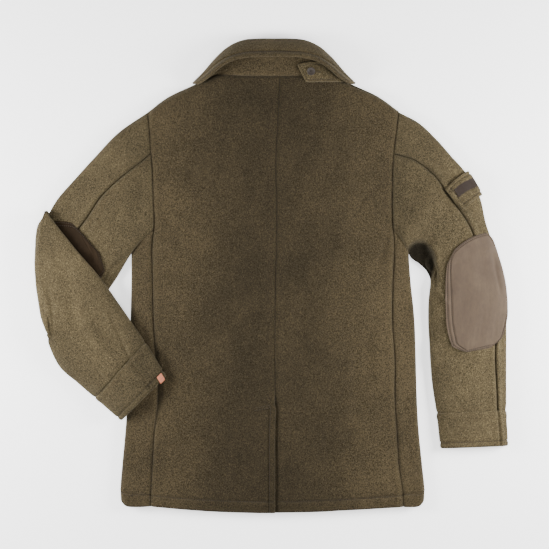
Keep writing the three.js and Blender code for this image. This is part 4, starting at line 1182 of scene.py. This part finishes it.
def sleeve_relief(sleeve, row, angle, seams):
    """Creases, waviness and the back seam of a sleeve, as a height out from its tube."""
    spot_row, spot_angle = np.asarray(row, float), np.asarray(angle, float)
    down, across = spot_row * ROW_RUN, across_sleeve(spot_angle)
    creases = RIGHT_CREASES if sleeve is RIGHT_SLEEVE else LEFT_CREASES
    lines = [
        (from_row * ROW_RUN, across_sleeve(start), to_row * ROW_RUN, across_sleeve(end), half, rise)
        for from_row, start, to_row, end, half, rise in creases
    ]
    relief = SLEEVE_CREASE_GAIN * crease_height(lines, down, across)
    relief += 0.9 * ripple(down, across, 48, 3) + 0.3 * ripple(down, across, 17, 4)
    back = seam_angle(sleeve, spot_row)
    back_gap = (np.cos(np.radians(spot_angle)) - np.cos(np.radians(back))) * HALF_SLEEVE
    if seams:
        dip = seam_dip(back_gap, *SLEEVE_SEAM) + 1.5 * bell(back_gap - 5.5, 4.0)
        relief += np.where(spot_angle > 0, 1, 0) * dip
    quiet = smooth(np.abs(np.sin(np.radians(spot_angle))) / 0.32)
    underside = np.where(sleeve_under(sleeve, spot_row, spot_angle), 0.0, 1.0)
    return relief * quiet * underside * smooth(spot_row / 0.25)


def sleeve_under(sleeve, row, angle):
    """True where the face lies against the floor or against the other layer of the fold."""
    down = np.sin(np.radians(angle)) < 0
    if sleeve is RIGHT_SLEEVE:
        return down
    turned = row > FOLD_ROW + FOLD_STEPS / 2
    return np.where(turned, ~down, down)


def hollow_share(x, y):
    """1 inside the hollow where the right sleeve folds in under the arm, 0 well outside it."""
    away = np.hypot((x - HOLLOW["x"]) / HOLLOW["halfX"], (y - HOLLOW["y"]) / HOLLOW["halfY"])
    return smooth((HOLLOW["outer"] - away) / (HOLLOW["outer"] - HOLLOW["inner"]))


def sleeve_point(sleeve, row, angle, relief=True, seams=True):
    row, angle = np.broadcast_arrays(np.asarray(row, float), np.asarray(angle, float))
    point = plain_sleeve(sleeve, row, angle)
    if relief:
        height = sleeve_relief(sleeve, row, angle, seams)
        height = height + cuff_relief(sleeve, row)
        point = point + tube_normal(sleeve, row, angle) * height[..., None]
        upper = np.sin(np.radians(angle)) > 0
        sunk = HOLLOW["depth"] * hollow_share(point[..., 0], point[..., 1]) * smooth(row / 0.9)
        lowered = np.maximum(point[..., 2] - sunk, np.minimum(point[..., 2], HOLLOW["floor"]))
        point[..., 2] = np.maximum(np.where(upper, lowered, point[..., 2]), 0)
    return point


# How far the cuff's row of stitches is from its end
CUFF_STITCH = 10


def cuff_relief(sleeve, row):
    """Seam above the cuff and the rolled hem at its end."""
    from_seam = (row - sleeve["cuffRow"]) * sleeve["cuffRun"]
    from_end = (sleeve["endRow"] - row) * sleeve["cuffRun"]
    seam = -1.3 * bell(from_seam, 2.4) + 0.9 * bell(from_seam - 7, 4)
    hem = -1.9 * bell(from_end - CUFF_STITCH, 1.8) - 1.1 * bell(from_end, 2.2)
    return np.where(row > sleeve["cuffRow"] - 1, seam + hem, 0)


# Degrees that a sleeve piece stops short of the tube's inner edge and of the back seam
EDGE_GAP = 0.03
SEAM_GAP = 0.35


def sleeve_surface(sleeve, under):
    last = sleeve["cuffRow"] + 0.02

    def angle_at(u, row):
        back = seam_angle(sleeve, row)
        edge = 180 - EDGE_GAP
        gap = SEAM_GAP * (1 + fold_nearness(sleeve, row))
        if under:
            return mix(back + gap, edge, u)
        return mix(-edge, back - gap, u)

    def surface(u, v):
        row = v * last
        return sleeve_point(sleeve, row, angle_at(u, row))

    def normal_at(u, v):
        row = v * last
        return tube_normal(sleeve, row, angle_at(u, row))

    return surface, normal_at


def make_sleeve(sleeve, word):
    sign = sleeve["side"]["sign"]
    rows = steps(170)
    for part, under, count in (("top", False, 110), ("under", True, 64)):
        surface, normal_at = sleeve_surface(sleeve, under)
        name = f"sleeve_{word}_{part}"
        shell = cloth_shell("cloth_" + name, surface, steps(count), rows, CLOTH, sign, SLEEVE_WOOL,
                            normal_at=normal_at)
        stands_for(shell, "wool", name)


def make_cuff(sleeve, word):
    sign = sleeve["side"]["sign"]

    def surface(u, v):
        return sleeve_point(sleeve, mix(sleeve["cuffRow"], sleeve["endRow"], v), u * 360)

    def normal_at(u, v):
        return tube_normal(sleeve, mix(sleeve["cuffRow"], sleeve["endRow"], v), u * 360)

    around = np.arange(150) / 150
    name = f"cuff_{word}"
    shell = cloth_shell("cloth_" + name, surface, around, steps(48), CLOTH, sign, SLEEVE_WOOL, ring=True,
                        normal_at=normal_at)
    stands_for(shell, "wool", name)
    inset = 1 - CUFF_STITCH / sleeve["cuffRun"] / (sleeve["endRow"] - sleeve["cuffRow"])
    ring = [(u, inset) for u in np.linspace(0, 1, 260)]
    stitches_on(f"cuff_stitches_{word}", surface, ring, sign)


def on_sleeve(name, sleeve, stretch, count, fit, material, slot, node_name, lift=None):
    """A piece sewn on a sleeve, made from the sleeve's own surface moved out."""
    sign = sleeve["side"]["sign"]
    last_step = stretch["step"][-1]

    def across(angle):
        return 1 - np.cos(np.radians(angle))

    def place(u, v):
        step = v * last_step
        columns = ("from", "to", "fromRow", "toRow")
        start, end, from_row, to_row = (value(stretch, "step", step, column) for column in columns)
        angle = mix(start, end, u)
        crossed = u
        if "straight" in fit:
            crossed = (across(angle) - across(start)) / (across(end) - across(start))
        return mix(from_row, to_row, crossed), angle

    def normal_at(u, v):
        return tube_normal(sleeve, *place(u, v))

    def surface(u, v):
        row, angle = place(u, v)
        out = fit["seat"] + fit["thickness"]
        if lift:
            out = out + lift(u, v)
        return sleeve_point(sleeve, row, angle, seams=False) + normal_at(u, v) * np.asarray(out)[..., None]

    shell = cloth_shell(name, surface, edged(count[0]), edged(count[1]), fit["thickness"], sign, material,
                        normal_at=normal_at)
    stands_for(shell, slot, node_name)
    return surface


def border_uv(inset_u, inset_v, count=60):
    """Places round a piece at a share in from its edges."""
    t = np.linspace(0, 1, count)
    low_u, high_u, low_v, high_v = inset_u, 1 - inset_u, inset_v, 1 - inset_v
    corners = [(low_u, low_v), (high_u, low_v), (high_u, high_v), (low_u, high_v), (low_u, low_v)]
    return [(mix(a[0], b[0], s), mix(a[1], b[1], s)) for a, b in zip(corners, corners[1:]) for s in t]


# The two rows of stitches on a patch, as shares in from its edges, across and along
PATCH_ROWS = [(0.026, 0.018), (0.078, 0.054)]


def patch_lift(u, v):
    """Two sewn grooves inside the patch's edge and a few soft creases across it."""
    from_edge = np.minimum(np.minimum(u, 1 - u), np.minimum(v, 1 - v) * 1.45)
    outer, inner = PATCH_ROWS[0][0], PATCH_ROWS[1][0]
    groove = -1.1 * bell(from_edge - outer, 0.011) - 1.5 * bell(from_edge - inner, 0.013)
    middle = np.sin(np.clip(u, 0, 1) * math.pi)
    crease = 1.6 * bell(v - 0.17 - 0.06 * np.sin(u * 4), 0.04) * middle
    dent = -1.3 * bell(v - 0.25 - 0.05 * np.sin(u * 5 + 1), 0.032) * middle
    wave = 0.5 * ripple(u * 110, v * 210, 50, 6)
    return 1.1 + groove + (crease + dent + wave) * smooth((from_edge - 0.05) / 0.1)


def edged(count, border=0.11):
    """Shares from 0 to 1 with half of the steps inside the sewn borders."""
    quarter = count // 4
    first = np.linspace(0, border, quarter + 1)
    inner = np.linspace(border, 1 - border, count - 2 * quarter + 1)[1:]
    last = np.linspace(1 - border, 1, quarter + 1)[1:]
    return np.concatenate([first, inner, last])


def strap_lift(u, v):
    """Stitched grooves inside the strap's edges and its padded middle."""
    from_side = np.minimum(v, 1 - v) * 47
    from_end = np.minimum(u, 1 - u) * 60
    groove = -2.0 * bell(from_side - 6, 1.4) - 1.4 * bell(from_end - 6, 1.6)
    edge = -1.0 * bell(from_side, 2.2)
    return 1.3 + groove + edge + 0.2 * ripple(u * 60, v * 50, 18, 7)


def make_trims():
    right = on_sleeve("cloth_elbow_patch_right", RIGHT_SLEEVE, RIGHT_PATCH, (88, 120), PATCH_FIT, PATCH,
                      "patch_canvas", "elbow_patch_right", patch_lift)
    left = on_sleeve("cloth_elbow_patch_left", LEFT_SLEEVE, LEFT_PATCH, (72, 80), PATCH_FIT, SHADED_PATCH,
                     "patch_canvas", "elbow_patch_left", patch_lift)
    for word, surface, sign in (("right", right, 1), ("left", left, -1)):
        for k, (inset_u, inset_v) in enumerate(PATCH_ROWS):
            stitches_on(f"patch_stitches_{word}_{k + 1}", surface, border_uv(inset_u, inset_v), sign,
                        material=PATCH_THREAD, slot="patch_canvas", pitch=3.8, length=3.0, radius=0.6)
    strap = on_sleeve("cloth_sleeve_strap", RIGHT_SLEEVE, STRAP, (40, 48), STRAP_FIT, SLEEVE_WOOL, "wool",
                      "sleeve_strap", strap_lift)
    stitches_on("strap_stitches", strap, border_uv(0.1, 0.125, 40), 1)
    label = on_sleeve("cloth_strap_label", RIGHT_SLEEVE, LABEL, (40, 20), LABEL_FIT, LABEL_CLOTH,
                      "label_weave", "strap_label")
    stitches_on("label_stitches", label, border_uv(0.03, 0.08, 30), 1, slot="label_weave", pitch=2.2,
                length=1.5, radius=0.2)


def make_tag():
    """Leather tag folded over the left cuff's edge."""
    sleeve = LEFT_SLEEVE
    sign = sleeve["side"]["sign"]
    gap = CLOTH / 2 + TAG["clearance"] + TAG["thickness"]
    bend = math.pi * gap
    total = TAG["outside"] + bend + TAG["inside"]

    def on_cuff(angle, rows_in=0.0):
        row = np.full(np.shape(angle), sleeve["endRow"] - rows_in)
        return sleeve_point(sleeve, row, angle, relief=False)

    def surface(u, v):
        angle = mix(TAG["fromAngle"], TAG["toAngle"], u)
        end = on_cuff(angle)
        across = on_cuff(angle + 1) - on_cuff(angle - 1)
        along = end - on_cuff(angle, 0.2)
        along = along / np.linalg.norm(along, axis=-1, keepdims=True)
        normal = np.cross(across, along)
        normal = normal / np.linalg.norm(normal, axis=-1, keepdims=True) * sign
        distance = v * total
        turn = np.clip((distance - TAG["outside"]) / bend, 0, 1) * math.pi
        straight = np.minimum(distance - TAG["outside"], 0) + np.minimum(total - TAG["inside"] - distance, 0)
        middle = end - normal * CLOTH / 2
        forward = (straight + gap * np.sin(turn))[..., None]
        return middle + along * forward + normal * (gap * np.cos(turn))[..., None]

    shell = cloth_shell("leather_cuff_tag", surface, steps(14), spread(0, 1, 0.02), TAG["thickness"], 1,
                        LEATHER, rim=0.4)
    stands_for(shell, "tag_leather", "cuff_tag")
    line = [(u, 8 / total) for u in np.linspace(0.08, 0.92, 12)]
    stitches_on("tag_stitches", surface, line, 1, slot="tag_leather", pitch=2.0, length=1.4, radius=0.22)


# Collar

def collar_at(station):
    out = np.abs(station)
    sign = np.where(station < 0, -1, 1)

    def point(name):
        x = MIDDLE_X + sign * value(COLLAR, "out", out, name + "X")
        return np.stack([x, value(COLLAR, "out", out, name + "Y"), value(COLLAR, "out", out, name + "Z")], -1)

    return point("seam"), point("roll"), point("edge")


def unit_flat(vector):
    flat = vector.copy()
    flat[..., 2] = 0
    length = np.linalg.norm(flat, axis=-1, keepdims=True)
    return flat / np.maximum(length, 1e-9), length[..., 0]


def stand_surface(u, v):
    """Standing part of the collar. Its ends run on under the shoulders, dark inside the collar."""
    station = mix(-STAND_END, STAND_END, u)
    seam, roll, _ = collar_at(station)
    tucked = smooth((np.abs(station) - 3.0) / 1.4)
    seam[..., 1] -= TUCK * tucked
    end = roll.copy()
    end[..., 2] = roll[..., 2] - ROLL_RADIUS + CLOTH
    length = np.hypot(end[..., 0] - seam[..., 0], end[..., 1] - seam[..., 1])
    reach = np.maximum(1 - (COLLAR_JOIN + SEAM) / length, 0.35)
    start = -1.6 / length
    t = start + v * (reach - start)
    point = seam + (end - seam) * t[..., None]
    point[..., 2] += 0.25 * ripple(point[..., 0], point[..., 1], 22, 8)
    point[..., 2] -= NECK_DIP * bell(v * length, 2.6)
    below = back_height(point[..., 0], point[..., 1]) - CLOTH - 0.6
    under = smooth((back_top_y(point[..., 0]) + 2.0 - point[..., 1]) / 3.0) * tucked
    point[..., 2] = mix(point[..., 2], np.minimum(point[..., 2], below), under)
    point[..., 2] = np.maximum(point[..., 2], CLOTH + 0.4)
    return point


# Shares of the fall's depth where it starts and ends its roll over the stand
ROLL_START = 0.25
ROLL_END = 0.5


def fall_surface(u, v):
    seam, roll, edge = collar_at(mix(-COLLAR_END, COLLAR_END, u))
    towards, reach = unit_flat(edge - roll)
    reach = np.maximum(reach, 6)
    inward, _ = unit_flat(seam - roll)
    hidden = np.clip(1 - v / ROLL_START, 0, 1)
    turn = np.clip((v - ROLL_START) / (ROLL_END - ROLL_START), 0, 1) * math.pi / 2
    t = np.clip((v - ROLL_END) / (1 - ROLL_END), 0, 1)
    inset = np.where(v < ROLL_START, mix(ROLL_RADIUS, COLLAR_JOIN, hidden), ROLL_RADIUS * (1 - np.sin(turn)))
    point = roll + inward * inset[..., None] * (v < ROLL_END)[..., None]
    point = point + towards * (reach * t**1.5 * (v >= ROLL_END))[..., None]
    low = roll[..., 2] - ROLL_RADIUS * np.cos(turn)
    point[..., 2] = np.where(v < ROLL_END, low, mix(roll[..., 2], edge[..., 2], t))
    from_edge = (1 - t) * reach
    groove = 1.9 * bell(from_edge - 7.0, 1.4) - 0.9 * bell(from_edge - 3.2, 2.2)
    wave = 0.45 * ripple(u * 300, v * 80, 55, 9) + 0.2 * ripple(u * 300, v * 80, 19, 10)
    point[..., 2] -= (groove + wave * smooth(t / 0.4)) * smooth(t / 0.2)
    return point


def make_collar():
    stand = cloth_shell("cloth_collar_stand", stand_surface, spread(0, 1, 0.0125), steps(22), CLOTH, 1, WOOL)
    stands_for(stand, "wool", "collar_stand")
    rows = spreads((0, ROLL_START, 0.06), (ROLL_START, ROLL_END, 0.03), (ROLL_END, 1, 0.0135))
    fall = cloth_shell("cloth_collar_fall", fall_surface, spread(0, 1, 0.0065), rows, FALL_CLOTH, -1, WOOL,
                       rim=1.6)
    stands_for(fall, "wool", "collar_fall")
    line = [(u, 0.91) for u in np.linspace(0.03, 0.97, 200)]
    stitches_on("collar_stitches", fall_surface, line, -1)


# Flat trims: throat tab and lapels

def rounded(outline, radius, count=8):
    """An outline with its corners rounded and its sides divided."""
    points = []
    size = len(outline)
    for i in range(size):
        corner = np.array(outline[i], float)
        before = np.array(outline[i - 1], float)
        after = np.array(outline[(i + 1) % size], float)
        start = corner + (before - corner) / np.linalg.norm(before - corner) * radius
        end = corner + (after - corner) / np.linalg.norm(after - corner) * radius
        for t in np.linspace(0, 1, count):
            points.append((1 - t) ** 2 * start + 2 * t * (1 - t) * corner + t * t * end)
        following = after + (corner - after) / np.linalg.norm(after - corner) * radius
        gap = np.linalg.norm(following - end)
        for t in np.linspace(0, 1, max(2, int(gap / 3)))[1:-1]:
            points.append(mix(end, following, t))
    return np.array(points)


def turns_left(loop):
    """True for a closed loop that runs anticlockwise."""
    after = np.roll(loop, -1, 0)
    return np.sum(loop[:, 0] * after[:, 1] - after[:, 0] * loop[:, 1]) > 0


def inset_loop(loop, distance):
    """A closed loop moved in, by its own normals."""
    tangent = np.roll(loop, -1, 0) - np.roll(loop, 1, 0)
    normal = np.stack([-tangent[:, 1], tangent[:, 0]], -1)
    normal /= np.maximum(np.linalg.norm(normal, axis=1, keepdims=True), 1e-9)
    return loop + normal * distance * (1 if turns_left(loop) else -1)


def flat_piece(name, outline, radius, thickness, low, material, groove_at, facing=1):
    """A padded flat piece: rounded rim, a stitched groove and a slightly full middle."""
    loop = rounded(outline, radius)
    centre = loop.mean(0)
    size = len(loop)

    def level(path, height):
        return np.column_stack([path, np.full(size, low + thickness * height)])

    past_groove = groove_at + 1.3
    profile = [(0.9, 0.0), (0.0, 0.2), (0.0, 0.3), (0.5, 0.72), (1.8, 1.0), (groove_at - 1.2, 1.0),
               (groove_at, 0.66), (past_groove, 1.0)]
    rings = [level(inset_loop(loop, distance), height) for distance, height in profile]
    last = inset_loop(loop, past_groove)
    rings += [level(mix(last, centre, t), 1 + 0.06 * t) for t in (0.3, 0.6, 0.85)]
    points = np.concatenate(rings + [np.array([[*centre, low + thickness * 1.06], [*centre, low]])])
    faces = []
    for j in range(len(rings) - 1):
        for k in range(size):
            n = (k + 1) % size
            faces.append((j * size + k, j * size + n, (j + 1) * size + n, (j + 1) * size + k))
    top, bottom = len(points) - 2, len(points) - 1
    for k in range(size):
        n = (k + 1) % size
        faces.append(((len(rings) - 1) * size + k, (len(rings) - 1) * size + n, top))
        faces.append((n, k, bottom))
    if not turns_left(loop):
        faces = [face[::-1] for face in faces]
    if facing < 0:
        points[:, 2] = 2 * low + thickness - points[:, 2]
        faces = [face[::-1] for face in faces]
    return make_object(name, points, faces, material), loop


def loop_stitches(name, loop, distance, height, material, slot, up=1.0):
    path = inset_loop(loop, distance)
    path = np.concatenate([path, path[:1]])
    points = np.column_stack([path, np.full(len(path), height)])
    normals = np.tile([0.0, 0.0, up], (len(points), 1))
    return stitch_row(name, points, normals, material, slot)


def make_tab():
    tab, loop = flat_piece("cloth_throat_tab", TAB_OUTLINE, 4, TAB_FULL, TAB_Z, TAB_WOOL, 4.5)
    stands_for(tab, "wool", "throat_tab")
    loop_stitches("tab_stitches", loop, 4.5, TAB_Z + TAB_FULL * 0.74, THREAD, "wool")
    level = TAB_Z + TAB_FULL * 1.04
    slit = np.array([(76.0, 363.0, level), (86.5, 363.0, level)])
    for k, shift in enumerate((-0.9, 0.9)):
        side = slit + np.array([0, shift, 0])
        path = np.array([mix(side[0], side[1], t) for t in np.linspace(0, 1, 20)])
        normals = np.tile([0.0, 0.0, 1.0], (20, 1))
        stitch_row(f"buttonhole_stitches_{k + 1}", path, normals, THREAD, "wool", pitch=0.8, length=0.9,
                   radius=0.35)


def make_lapel(word, sign):
    outline = [(sign * x, y) for x, y in LAPEL_LEAF]
    lapel, loop = flat_piece(f"cloth_lapel_{word}", outline, 6, CLOTH, 0.0, WOOL, 7.0, facing=-1)
    stands_for(lapel, "wool", f"lapel_{word}")
    loop_stitches(f"lapel_stitches_{word}", loop, 7.0, CLOTH * 0.27, THREAD, "wool", up=-1.0)


# Buttons

# A button's dish depth, hole spacing and hole size, as shares of its height and radius
BUTTON_DISH = 0.68
HOLE_PLACE = 0.22
HOLE_SIZE = 0.085


def button_object(name, radius, height):
    """A four-hole button, face up at the origin."""
    sides = 48
    profile = [(0, 0), (0.86, 0), (0.97, 0.18), (1.0, 0.42), (0.985, 0.78), (0.94, 0.95), (0.88, 1.0),
               (0.82, 0.97), (0.76, 0.82), (0.68, 0.72), (0.4, BUTTON_DISH), (0, BUTTON_DISH)]
    points, faces = [(0, 0, 0)], []
    for r, z in profile[1:-1]:
        for k in range(sides):
            angle = 2 * math.pi * k / sides
            points.append((radius * r * math.cos(angle), radius * r * math.sin(angle), height * z))
    points.append((0, 0, height * profile[-1][1]))
    rings = len(profile) - 2
    for k in range(sides):
        n = (k + 1) % sides
        faces.append((0, 1 + n, 1 + k))
        for j in range(rings - 1):
            a, b = 1 + j * sides + k, 1 + j * sides + n
            faces.append((a, b, b + sides, a + sides))
        faces.append((1 + (rings - 1) * sides + k, 1 + (rings - 1) * sides + n, len(points) - 1))
    obj = make_object(name, points, faces, HORN)
    cutters = []
    for k in range(4):
        angle = math.pi / 4 + k * math.pi / 2
        away = radius * HOLE_PLACE
        place = (away * math.cos(angle) * MM, away * math.sin(angle) * MM, height * 0.5 * MM)
        bpy.ops.mesh.primitive_cylinder_add(radius=radius * HOLE_SIZE * MM, depth=height * 2 * MM,
                                            location=place, vertices=16)
        cutters.append(bpy.context.object)
    for cutter in cutters:
        hole = obj.modifiers.new("hole", "BOOLEAN")
        hole.object = cutter
        hole.operation = "DIFFERENCE"
    bpy.context.view_layer.update()
    cut = bpy.data.meshes.new_from_object(obj.evaluated_get(bpy.context.evaluated_depsgraph_get()))
    obj.modifiers.clear()
    obj.data = cut
    for cutter in cutters:
        bpy.data.objects.remove(cutter, do_unlink=True)
    return obj


def thread_bar(start, end, radius, sides=8, count=8, arch=0.5):
    """A soft thread from hole to hole, as points and faces."""
    start, end = np.array(start, float), np.array(end, float)
    along = (end - start) / np.linalg.norm(end - start)
    across = np.cross(along, (0, 0, 1))
    points, faces = [], []
    for i in range(count + 1):
        t = i / count
        centre = mix(start, end, t) + np.array([0, 0, arch * math.sin(math.pi * t)])
        for k in range(sides):
            angle = 2 * math.pi * k / sides
            up = np.array([0, 0, radius * math.sin(angle)])
            points.append(centre + across * radius * math.cos(angle) + up)
    for i in range(count):
        for k in range(sides):
            a = i * sides + k
            b = i * sides + (k + 1) % sides
            faces.append((a, b, b + sides, a + sides))
    faces.append(tuple(range(sides))[::-1])
    faces.append(tuple(range(count * sides, (count + 1) * sides)))
    return points, faces


def place_button(name, node_name, x, y, low, radius, height, face_down):
    obj = button_object(name, radius, height)
    inner = radius * HOLE_PLACE * math.cos(math.pi / 4)
    lift = BUTTON_DISH * height
    points, faces = [], []
    for ends in (((-inner, -inner), (inner, inner)), ((-inner, inner), (inner, -inner))):
        bar, bar_faces = thread_bar((*ends[0], lift), (*ends[1], lift), radius * 0.06)
        faces += [tuple(i + len(points) for i in face) for face in bar_faces]
        points += bar
    thread = make_object(name + "_thread", points, faces, THREAD)
    for item in (obj, thread):
        if face_down:
            item.data.transform(Matrix.Rotation(math.pi, 4, "X"))
        level = low + (height if face_down else 0)
        item.data.transform(Matrix.Translation((x * MM, y * MM, level * MM)))
        item.data.update()
    stands_for(obj, "button_horn", node_name)
    stands_for(thread, "button_horn")


def make_buttons():
    place_button("tab_button_round", "tab_button", TAB_BUTTON["x"], TAB_BUTTON["y"], TAB_Z + TAB_FULL + 0.1,
                 TAB_BUTTON["radius"], TAB_BUTTON["height"], False)
    for i, y in enumerate(FRONT_BUTTON["rowsY"]):
        for word, sign in (("left", -1), ("right", 1)):
            name = f"front_button_{word}_{i + 1}"
            x = sign * FRONT_BUTTON["columnX"]
            radius, height = FRONT_BUTTON["radius"], FRONT_BUTTON["height"]
            place_button("round_" + name, name, x, y, 0.0, radius, height, True)


# Stage, lights and camera

# Millimetres in one pixel of the photograph, its side in pixels and the pixel over the frame's origin
PIXEL = 1.78
PHOTO_SIZE = 549
ORIGIN_ACROSS = 272.5
ORIGIN_DOWN = 276
CAMERA_HEIGHT = 4.0
COAT_LEVEL = 0.022
SENSOR = 36
FLOOR_SIZE = 6
FLOOR_LEVEL = -0.0006
STUDIO_LIGHT = 0.55

# Area lights: place and size in metres, and power in watts
LIGHTS = {
    "left_light": ((-1.12, 0.0, 0.62), 0.5, 34),
    "right_light": ((1.12, 0.05, 0.62), 0.5, 36),
    "over_light": ((0.2, -1.1, 2.8), 1.1, 46),
}


def make_stage():
    bpy.ops.mesh.primitive_plane_add(size=FLOOR_SIZE, location=(0, 0, FLOOR_LEVEL))
    floor = bpy.context.object
    floor.name = "pale_floor"
    floor.data.materials.append(floor_material())


def area_light(name, place, size, power):
    light = bpy.data.lights.new(name, "AREA")
    light.shape = "SQUARE"
    light.size = size
    light.energy = power
    obj = bpy.data.objects.new(name, light)
    bpy.context.scene.collection.objects.link(obj)
    obj.location = place
    direction = (-obj.location).to_track_quat("-Z", "Y")
    obj.rotation_euler = direction.to_euler()


def make_lights():
    for name, (place, size, power) in LIGHTS.items():
        area_light(name, place, size, power)
    world = bpy.data.worlds.new("studio")
    bpy.context.scene.world = world
    world.use_nodes = True
    background = world.node_tree.nodes["Background"]
    background.inputs["Color"].default_value = (1, 1, 1, 1)
    background.inputs["Strength"].default_value = STUDIO_LIGHT


def make_camera():
    camera = bpy.data.cameras.new("camera")
    camera.sensor_width = SENSOR
    camera.lens = SENSOR * (CAMERA_HEIGHT - COAT_LEVEL) / (PHOTO_SIZE * PIXEL * MM)
    obj = bpy.data.objects.new("camera", camera)
    bpy.context.scene.collection.objects.link(obj)
    x = (PHOTO_SIZE / 2 - ORIGIN_ACROSS) * PIXEL * MM
    y = (ORIGIN_DOWN - PHOTO_SIZE / 2) * PIXEL * MM
    obj.location = (x, y, CAMERA_HEIGHT)
    bpy.context.scene.camera = obj


make_stage()
make_lights()
make_camera()
left_back, right_back = make_backs()
stitch_backs(left_back, right_back)
make_side(LEFT, "side_left")
make_side(RIGHT, "side_right")
make_front(LEFT, "front_left", 0)
make_front(RIGHT, "front_right", 1)
for sleeve, word in ((LEFT_SLEEVE, "left"), (RIGHT_SLEEVE, "right")):
    make_sleeve(sleeve, word)
    make_cuff(sleeve, word)
make_trims()
make_tag()
make_collar()
make_tab()
make_lapel("left", -1)
make_lapel("right", 1)
make_buttons()
